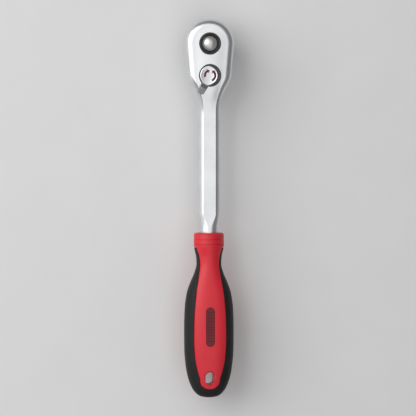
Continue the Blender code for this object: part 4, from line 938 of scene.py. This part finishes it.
def make_snap_ring():
    """Open ring of flattened wire with rounded ends."""
    inner, outer = BUTTON_RADIUS + 0.2 * MM, RING_HIGH[0]
    middle, half = (inner + outer) / 2, (outer - inner) / 2
    thick = (RING_HIGH[2] - RING_LOW[2]) / 2
    height = (RING_HIGH[2] + RING_LOW[2]) / 2
    gap = math.radians(28)
    nose = half / middle
    end = [(gap / 2 + nose * (1 - math.cos(a)), math.sin(a) * 0.97 + 0.03) for a in quarter(5)]
    turns = [(angle, 1.0) for angle in spread(gap / 2 + nose, math.tau - gap / 2 - nose, 92)[1:-1]]
    far_end = [(math.tau - angle, share) for angle, share in reversed(end)]
    rings = []
    for angle, share in end + turns + far_end:
        section = []
        for k in range(20):
            a = math.tau * k / 20
            out = math.copysign(abs(math.cos(a)) ** 0.5, math.cos(a)) * half * share
            up = math.copysign(abs(math.sin(a)) ** 0.5, math.sin(a)) * thick * share
            radius = middle + out
            section.append((radius * math.cos(angle), radius * math.sin(angle), height + up))
        rings.append(section)
    ring = as_object("button_ring", loft(rings))
    hand_over(ring, "spring_steel", "drive", "button_snap_ring", sharp=40)


def make_ball():
    bm = bmesh.new()
    bmesh.ops.create_icosphere(bm, subdivisions=5, radius=BALL_RADIUS)
    ball = as_object("drive_ball", placed(bm, BALL_PLACE))
    hand_over(ball, "bright_steel", "ball", "detent_ball")


def coil(radius, wire, length, steps=36, sides=12):
    """A compression spring along Z from height 0, its end turns closed up."""
    rings = []
    for t in spread(0, 1, SPRING_TURNS * steps):
        angle = math.tau * SPRING_TURNS * t
        outward = Vector((math.cos(angle), math.sin(angle), 0))
        centre = outward * radius + Vector((0, 0, wire + (length - 2 * wire) * (smooth(t) + t) / 2))
        section = arc((0, 0), wire, 0, math.tau, sides)[:-1]
        rings.append([centre + outward * out + Vector((0, 0, up)) for out, up in section])
    return loft(rings)


def make_spring(name, node, slide, body, radius, wire, turn):
    """A coil in place of a plain one. It stands on its body; the slide joint's travel is read, but the coil does
    not shorten with it.
    """
    low, high = (Vector(corner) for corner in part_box(node))
    direction = turn @ Vector((0, 0, 1))
    length = 0
    for side, share in zip(high - low, direction):
        across = 2 * (radius + wire) * math.sqrt(1 - share**2)
        length += (side - across) * abs(share)
    foot = (low + high) / 2 - direction * length / 2
    spring = as_object(name, placed(coil(radius, wire, length), foot, turn))
    hand_over(spring, "spring_steel", body, node)
    travel = max(abs(limit) for limit in joint_row(slide)["range_m"])
    (length - travel) / length
    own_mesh(spring)


def make_springs():
    """The coil under the button and the coil behind the pawl's plunger."""
    upright, back = Matrix.Identity(4), laid_towards(TAB_ANGLE + math.pi)
    make_spring("button_spring", "release_spring", "button_press", "drive", *BUTTON_SPRING, upright)
    make_spring("pawl_spring", "plunger_spring", "plunger_slide", "selector", *PAWL_SPRING, back)


def make_pawl_pin():
    low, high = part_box("pawl_pin")
    rim = 0.2 * MM
    profile = [(0, low[2]), (PAWL_PIN_RADIUS - rim, low[2]), (PAWL_PIN_RADIUS, low[2] + rim)]
    profile += [(PAWL_PIN_RADIUS, high[2]), (0, high[2])]
    pin = as_object("pawl_pivot_pin", placed(turned(profile, 48), PAWL_AXIS))
    hand_over(pin, "bright_steel", "frame", "pawl_pin")


# Selector


def make_stem():
    """Turned stem: foot with a centre dimple, body, neck with a seal groove and the lever's square."""
    foot = STEM_LOW[2]
    body_low, body_high = COVER_HIGH[2] + 0.2 * MM, ROOF - 0.2 * MM
    neck_top = DISC_BOTTOM - FIT
    seal_low, seal_high = (h[2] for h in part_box("selector_seal"))
    neck, groove = STEM_NECK_RADIUS, STEM_GROOVE_RADIUS
    rim, dimple = 0.25 * MM, 0.5 * MM
    profile = [
        (0, foot + dimple), (dimple, foot), (STEM_FOOT_RADIUS - rim, foot), (STEM_FOOT_RADIUS, foot + rim),
        (STEM_FOOT_RADIUS, body_low), (STEM_RADIUS, body_low), (STEM_RADIUS, body_high), (neck, body_high),
        (neck, seal_low - FIT), (groove, seal_low - FIT), (groove, seal_high + FIT), (neck, seal_high + FIT),
        (neck, neck_top), (0, neck_top),
    ]
    turn = spun(TAB_ANGLE)
    stem = as_object("reversing_stem", placed(turned(profile, 72), SELECTOR_AXIS, turn))
    half = STEM_SQUARE / 2
    spigot = loft([square_ring(half, 0.3 * MM, z, 3) for z in (neck_top - OVERSHOOT / 2, STEM_HIGH[2])])
    plunger_low, plunger_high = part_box("pawl_plunger")
    plunger_height = (plunger_low[2] + plunger_high[2]) / 2
    bore_place = SELECTOR_AXIS + Vector((0, 0, plunger_height))
    bore = rod(PLUNGER_BORE, -1.8 * MM, STEM_RADIUS + OVERSHOOT, 32)
    bore = placed(bore, bore_place, laid_towards(TAB_ANGLE + math.pi))
    carve(stem, ("UNION", placed(spigot, SELECTOR_AXIS, turn)), ("DIFFERENCE", bore))
    hand_over(stem, "bright_steel", "selector", "selector_stem")


def disc_reach(angle):
    """Radius of the lever's disc at a plan angle. Its free side is cut back to a smaller circle."""
    aside = DISC_RADIUS - DISC_RELIEF - DISC_RELIEF_RADIUS
    turn = abs(math.remainder(angle, math.tau))
    cut_back = aside * math.cos(turn) + math.sqrt(DISC_RELIEF_RADIUS**2 - (aside * math.sin(turn)) ** 2)
    return mix(cut_back, DISC_RADIUS, smooth((turn - math.radians(78)) / math.radians(30)))


def make_lever():
    """Disc with a rounded rim, a slightly hollowed face and two arrows let into it."""
    rings = []
    levels = [(0.0, DISC_BOTTOM), (0.0, DISC_TOP - DISC_RIM)]
    for a in quarter(6)[1:]:
        levels.append((DISC_RIM * (1 - math.cos(a)), DISC_TOP - DISC_RIM * (1 - math.sin(a))))
    for inset, height in levels:
        ring = []
        for angle in spread(0, math.tau, 120)[:-1]:
            reach = disc_reach(angle) - inset
            ring.append((reach * math.cos(angle), reach * math.sin(angle), height))
        rings.append(ring)
    rim_ring = rings[-1]
    for share in spread(0.97, 0.05, 12):
        height = DISC_TOP - DISC_HOLLOW * (1 - share**2)
        rings.append([(x * share, y * share, height) for x, y, z in rim_ring])
    lever = as_object("reversing_disc", placed(loft(rings), SELECTOR_AXIS))
    half = STEM_SQUARE / 2 + FIT
    hole = loft([square_ring(half, 0.3 * MM, z, 3) for z in (DISC_BOTTOM - OVERSHOOT, STEM_HIGH[2] + FIT)])
    carve(lever, *cutting(placed(hole, SELECTOR_AXIS, spun(TAB_ANGLE)), *arrow_solids(DISC_TOP + OVERSHOOT)))
    hand_over(lever, "satin_chrome", "selector", "selector_lever", sharp=32)


def arrow_outlines():
    """Two curved arrows round the disc's middle, one for each way of turning, as closed outlines."""
    outlines = []
    radius, half, head = ARROW_RADIUS, ARROW_HALF_WIDTH, ARROW_HEAD
    for start, end in ((-70, 42), (196, 122)):
        start, end = math.radians(start), math.radians(end)
        tip = end + math.copysign(0.48, end - start)
        outer = arc((0, 0), radius + half, start, end, 18)
        inner = arc((0, 0), radius - half, end, start, 18)
        spear = [
            ((radius + head) * math.cos(end), (radius + head) * math.sin(end)),
            (radius * math.cos(tip), radius * math.sin(tip)),
            ((radius - head) * math.cos(end), (radius - head) * math.sin(end)),
        ]
        outlines.append(outer + spear + inner)
    return outlines


def arrow_solids(top):
    """Prisms on the arrows' outlines, from their floor in the disc up to a height."""
    floor = DISC_TOP - ARROW_DEPTH
    return [placed(prism(outline, floor, top), SELECTOR_AXIS) for outline in arrow_outlines()]


def make_arrows():
    """The dark fill of the arrows, below the disc's face."""
    for number, bm in enumerate(arrow_solids(DISC_TOP - ARROW_SUNK), 1):
        hand_over(as_object(f"arrow_fill_{number}", bm), "dark_plastic", "selector")


def make_tab():
    """Thumb tab: a rounded wedge that rises outwards, with ridges across its top."""
    start, reach, nose = DISC_RADIUS * 0.84, TAB_REACH, 1.0 * MM
    upper, lower = 0.55 * MM, 0.3 * MM
    rings = []
    for r in spread(start, reach, 60):
        climb = smooth((r - DISC_RADIUS * 0.95) / (3.4 * MM))
        height = mix(DISC_TOP - 0.15 * MM, TAB_TOP - 0.12 * MM, climb)
        ridge = 0.12 * MM * math.sin((r - DISC_RADIUS) / MM * math.tau / 1.25)
        height += ridge * smooth((r - 9.3 * MM) / (0.5 * MM)) * (1 - smooth((r - 12.6 * MM) / (0.4 * MM)))
        rounding = 1 - math.sqrt(max(0.0, 1 - max(0.0, (r - (reach - nose)) / nose) ** 2))
        half = mix(1, 0.86, smooth((r - DISC_RADIUS) / (reach - DISC_RADIUS))) * TAB_WIDTH / 2
        half -= nose * rounding
        height -= 1.1 * MM * rounding
        clear = smooth((r - DISC_RADIUS * 0.86) / (0.8 * MM))
        bottom = mix(HEAD_TOP - 1.0 * MM, HEAD_TOP + 0.2 * MM, clear) + 0.3 * MM * rounding
        corners = [
            (1, height - upper, upper), (-1, height - upper, upper),
            (-1, bottom + lower, lower), (1, bottom + lower, lower),
        ]
        ring = []
        for number, (side, level, edge) in enumerate(corners):
            first = number * math.pi / 2
            points = arc((side * (half - edge), level), edge, first, first + math.pi / 2, 5)
            ring += [(r, x, z) for x, z in points]
        rings.append(ring)
    tab = placed(loft(rings), SELECTOR_AXIS, spun(TAB_ANGLE))
    # The tab's finish is painted shade: darker steel standing in for the dark reflection of its slopes.
    hand_over(as_object("thumb_tab", tab), "tab_steel_painted_shade", "selector", slot="dark_steel", sharp=40)


# Handle


def handle_shape(distance):
    """Half width, half height and fullness: a circle at the collar, a fuller oval further back."""
    half_width, half_height = along(HANDLE_STATIONS, distance)
    return half_width, half_height, mix(2.0, 2.45, smooth((distance - COLLAR_END) / (30 * MM)))


def handle_section(distance, sunk, wrap=120):
    half_width, half_height, power = handle_shape(distance)
    half_width, half_height = half_width - sunk, half_height - sunk
    ring = []
    for k in range(wrap):
        a = math.tau * (k + 0.5) / wrap
        c, s = math.cos(a), math.sin(a)
        x = math.copysign(abs(c) ** (2 / power), c) * half_width
        z = math.copysign(abs(s) ** (2 / power), s) * half_height
        ring.append((x, -distance, SHANK_MIDDLE + z))
    return ring


def surface_height(x, distance):
    """Height of the handle's top above its middle line at a place in plan."""
    half_width, half_height, power = handle_shape(distance)
    share = min(1.0, abs(x) / half_width)
    return half_height * (1 - share**power) ** (1 / power)


def handle_envelope():
    """The whole handle's skin with the collar's ring lines, closer sections at the front and the butt."""
    rim, collar = HANDLE_STATIONS[1][0], HANDLE_STATIONS[2][0]
    distances = [COLLAR_START]
    distances += [mix(COLLAR_START, rim, math.sin(a)) for a in quarter(5)[1:]]
    distances += spread(rim, collar, 10)[1:]
    for t in spread(0, 1, 100)[1:]:
        distances.append(mix(collar, BUTT_END, mix(t, math.sin(t * math.pi / 2), 0.45)))
    plain = [d for d in distances if all(abs(d - line) > 1.5 * RING_HALF_WIDTH for line in RING_LINES)]
    sections = [(d, 0.0) for d in plain]
    for line in RING_LINES:
        sections += [(line + side * RING_HALF_WIDTH, 0.0) for side in (-1, 1)]
        sections += [(line + side * RING_FLOOR_HALF_WIDTH, RING_DEPTH) for side in (-1, 1)]
    return loft([handle_section(*section) for section in sorted(sections)])


def core_half_outline(grow=0.0):
    """The core's right side in plan from the collar's back corner to the nose."""
    half = []
    for distance in spread(CORE_STATIONS[0][0] + grow, CORE_STATIONS[-1][0], 56):
        half.append((along(CORE_STATIONS, distance)[0] + grow, -distance))
    end_half = CORE_STATIONS[-1][1] + grow
    for a in quarter(16)[1:]:
        half.append((end_half * math.cos(a), -CORE_STATIONS[-1][0] - (CORE_NOSE_RADIUS + grow) * math.sin(a)))
    half[-1] = (0.0, half[-1][1])
    return half


def core_outline(grow=0.0):
    wide = HANDLE_STATIONS[2][1] + 3 * MM
    front = -COLLAR_START + OVERSHOOT
    start = [(0.0, front), (wide, front), (wide, -COLLAR_END - grow)]
    return mirrored(start + core_half_outline(grow))


def tang_socket():
    """The room in the core for the shank's round end and its tang."""
    round_end = (ROUND_RADIUS, ROUND_RADIUS, ROUND_CORNER)
    tang = (*TANG_HALF, TANG_CORNER)
    rings = []
    for distance, shape in (
        (COLLAR_START - OVERSHOOT, round_end), (STEP_START + FIT, round_end), (STEP_END + FIT, tang),
        (TANG_END + FIT, tang),
    ):
        rings.append([(x, -distance, SHANK_MIDDLE + z) for x, z in rounded_box(*shape, 12, FIT)])
    return loft(rings)


def slot_tool(half_width, length, centre_distance, levels):
    """A slot-shaped tool along the handle: levels are (grow, height) pairs from bottom to top."""
    rings = []
    for grow, height in levels:
        outline = stadium(half_width + grow, length + 2 * grow, -centre_distance, 24)
        rings.append([(x, y, height) for x, y in outline])
    return loft(rings)


def seam_path():
    """The parting line between core and grip as one closed curve on the handle's surface."""
    half = core_half_outline()
    corner_x, corner_y = half[0]
    turn_in = 0.8 * MM
    plan = arc((corner_x + turn_in, corner_y - turn_in), turn_in, math.pi / 2, math.pi, 5)[1:-1]
    plan += [(x, y) for x, y in half if y < corner_y - turn_in]
    half_width, half_height = along(HANDLE_STATIONS, COLLAR_END)
    first = math.acos((corner_x + turn_in) / half_width)
    side_right = []
    for a in spread(-first, first, 40):
        x, z = half_width * math.cos(a), SHANK_MIDDLE + half_height * math.sin(a)
        side_right.append(Vector((x, corner_y, z)))
    right_top = [Vector((x, y, SHANK_MIDDLE + surface_height(x, -y))) for x, y in plan]
    left_top = [Vector((-p.x, p.y, p.z)) for p in reversed(right_top[:-1])]
    side_left = [Vector((-p.x, p.y, p.z)) for p in reversed(side_right)]
    under = [Vector((p.x, p.y, 2 * SHANK_MIDDLE - p.z)) for p in reversed(right_top + left_top)]
    return side_right + right_top + left_top + side_left + under


def swept(path, radius, sides=8):
    """A tube along a closed path."""
    rings = []
    count = len(path)
    for i, here in enumerate(path):
        run = (path[(i + 1) % count] - path[i - 1]).normalized()
        out = Vector((here.x, 0, here.z - SHANK_MIDDLE))
        out = (out - run * out.dot(run)).normalized()
        across = run.cross(out)
        ring = []
        for k in range(sides):
            a = math.tau * (k + 0.5) / sides
            ring.append(here + (out * math.cos(a) + across * math.sin(a)) * radius)
        rings.append(ring)
    bm = loft(rings + rings[:1], capped=False)
    bmesh.ops.remove_doubles(bm, verts=bm.verts, dist=1e-7)
    return bm


def through_handle(outline):
    """A prism on an outline in plan, through the whole height of the handle."""
    return prism(outline, SHANK_MIDDLE - HANDLE_REACH, SHANK_MIDDLE + HANDLE_REACH)


def make_core():
    """Collar, waisted strip and hanging eye, with ring lines, a rounded eye and the inlay's pocket."""
    core = as_object("handle_body", handle_envelope())
    mouth = surface_height(0, HANG_HOLE_DISTANCE) - 0.1 * MM
    levels = [(HANG_HOLE_LIP, -mouth - 3.1 * MM)]
    for a in quarter(6):
        levels.append((HANG_HOLE_LIP * (1 - math.sin(a)), -mouth + HANG_HOLE_LIP * (1 - math.cos(a))))
    levels += [(grow, -height) for grow, height in reversed(levels)]
    levels = [(grow, SHANK_MIDDLE + height) for grow, height in levels]
    eye = slot_tool(HANG_HOLE_HALF_WIDTH, HANG_HOLE_LENGTH, HANG_HOLE_DISTANCE, levels)
    above = SHANK_MIDDLE + HANDLE_REACH
    levels = [(FIT, INLAY_LOW[2] - FIT), (FIT, INLAY_HIGH[2] - 0.35 * MM), (0.5 * MM, above)]
    pocket = slot_tool(INLAY_WIDTH / 2, INLAY_LENGTH, INLAY_DISTANCE, levels)
    seam = swept(seam_path(), SEAM_RADIUS)
    carve(core, ("INTERSECT", through_handle(core_outline())), *cutting(tang_socket(), eye, pocket, seam))
    hand_over(core, "red_plastic", "frame", "handle_core", sharp=28)


def make_grip():
    """Soft sleeve on both sides and round the butt, parted from the core by a fine groove."""
    grip = as_object("soft_sleeve", handle_envelope())
    carve(grip, *cutting(through_handle(core_outline(FIT)), swept(seam_path(), SEAM_RADIUS)))
    hand_over(grip, "black_rubber", "frame", "soft_grip", sharp=28)


def make_inlay():
    """Plain sunk plate with fine grooves across it."""
    face = INLAY_HIGH[2] - 0.3 * MM
    levels = [(0, INLAY_LOW[2]), (0, face - 0.2 * MM), (-0.2 * MM, face)]
    plate = as_object("inlay_plate", slot_tool(INLAY_WIDTH / 2, INLAY_LENGTH, INLAY_DISTANCE, levels))
    half_x, deep, half_y = 1.9 * MM, 0.3 * MM, 0.42 * MM
    narrow = half_y * 0.35
    profile = [(-half_y, face + deep), (-narrow, face - deep), (narrow, face - deep), (half_y, face + deep)]
    cuts = []
    for number in range(INLAY_GROOVES):
        y = -INLAY_DISTANCE + (number - INLAY_GROOVES // 2) * INLAY_GROOVE_STEP
        cuts.append(loft([[(x, y + dy, z) for dy, z in profile] for x in (-half_x, half_x)]))
    carve(plate, *cutting(*cuts))
    hand_over(plate, "dark_plastic", "frame", "grip_inlay")


make_head()
make_cover()
make_screws()
make_drive()
make_button()
make_snap_ring()
make_ball()
make_pawl_pin()
make_stem()
make_springs()
make_lever()
make_arrows()
make_tab()
make_core()
make_grip()
make_inlay()

CAD_SLOTS = {part["node"]: part["material_slot"] for part in frame["record"]["subparts"]}
for name, node in frame["nodes"].items():
    node.data.materials.clear()
    node.data.materials.append(FINISHES[CAD_SLOTS[name]])


# Stage


def make_stage():
    bm = bmesh.new()
    bmesh.ops.create_grid(bm, x_segments=1, y_segments=1, size=6.0)
    floor = as_object("floor", bm)
    floor.location.z = CAD_LOW[2] - 0.3 * MM
    r = Recipe("floor")
    mottle = r.noise(30, detail=3)
    colour = r.blend(mottle, (0.72, 0.72, 0.72), (0.76, 0.76, 0.76))
    floor.data.materials.append(r.surface(Base_Color=colour, Roughness=0.7))


def aimed(direction):
    """The turn that puts local Z along a direction and local Y as near the handle's line as it goes."""
    along_z = Vector(direction).normalized()
    across = Vector((0, 1, 0)).cross(along_z).normalized()
    return Matrix((across, along_z.cross(across), along_z)).transposed().to_euler()


def add_lamp(name, size, power, target, away):
    """A soft rectangular lamp that faces its target from away, its second side along the handle."""
    lamp = bpy.data.lights.new(name, "AREA")
    lamp.shape = "RECTANGLE"
    lamp.size, lamp.size_y = size
    lamp.energy = power
    obj = bpy.data.objects.new(name, lamp)
    bpy.context.scene.collection.objects.link(obj)
    obj.location = target + Vector(away)
    obj.rotation_euler = aimed(away)
    obj.visible_camera = False


def make_lights():
    world = bpy.data.worlds.new("studio")
    bpy.context.scene.world = world
    world.use_nodes = True
    background = world.node_tree.nodes["Background"]
    background.inputs["Color"].default_value = (1, 1, 1, 1)
    background.inputs["Strength"].default_value = 0.20
    middle = Vector(((CAD_LOW[0] + CAD_HIGH[0]) / 2, (CAD_LOW[1] + CAD_HIGH[1]) / 2, CAD_HIGH[2]))
    add_lamp("overhead_softbox", (1.0, 1.9), 4.9, middle, (-0.05, 0.0, 1.0))
    add_lamp("key_softbox", (1.5, 1.5), 18, middle, (-1.1, 0.55, 1.15))
    add_lamp("left_panel", (0.5, 1.6), 1.4, middle, (-1.1, 0.0, 0.28))
    bpy.context.scene.view_settings.view_transform = "Standard"


def make_camera():
    """Straight above, a little to the left and towards the head, as one looks into a drawer."""
    camera = bpy.data.cameras.new("camera")
    camera.sensor_width = 36
    reach, view_width = 2.0, 0.276
    camera.lens = camera.sensor_width * reach / view_width
    camera.clip_start, camera.clip_end = 0.05, 20
    obj = bpy.data.objects.new("camera", camera)
    bpy.context.scene.collection.objects.link(obj)
    middle = Vector((0, (CAD_LOW[1] + CAD_HIGH[1]) / 2, (CAD_LOW[2] + CAD_HIGH[2]) / 2))
    direction = Vector((-0.172, 0.061, 2.0)).normalized()
    obj.location = middle + direction * reach
    obj.rotation_euler = aimed(direction)
    bpy.context.scene.camera = obj


make_stage()
make_lights()
make_camera()
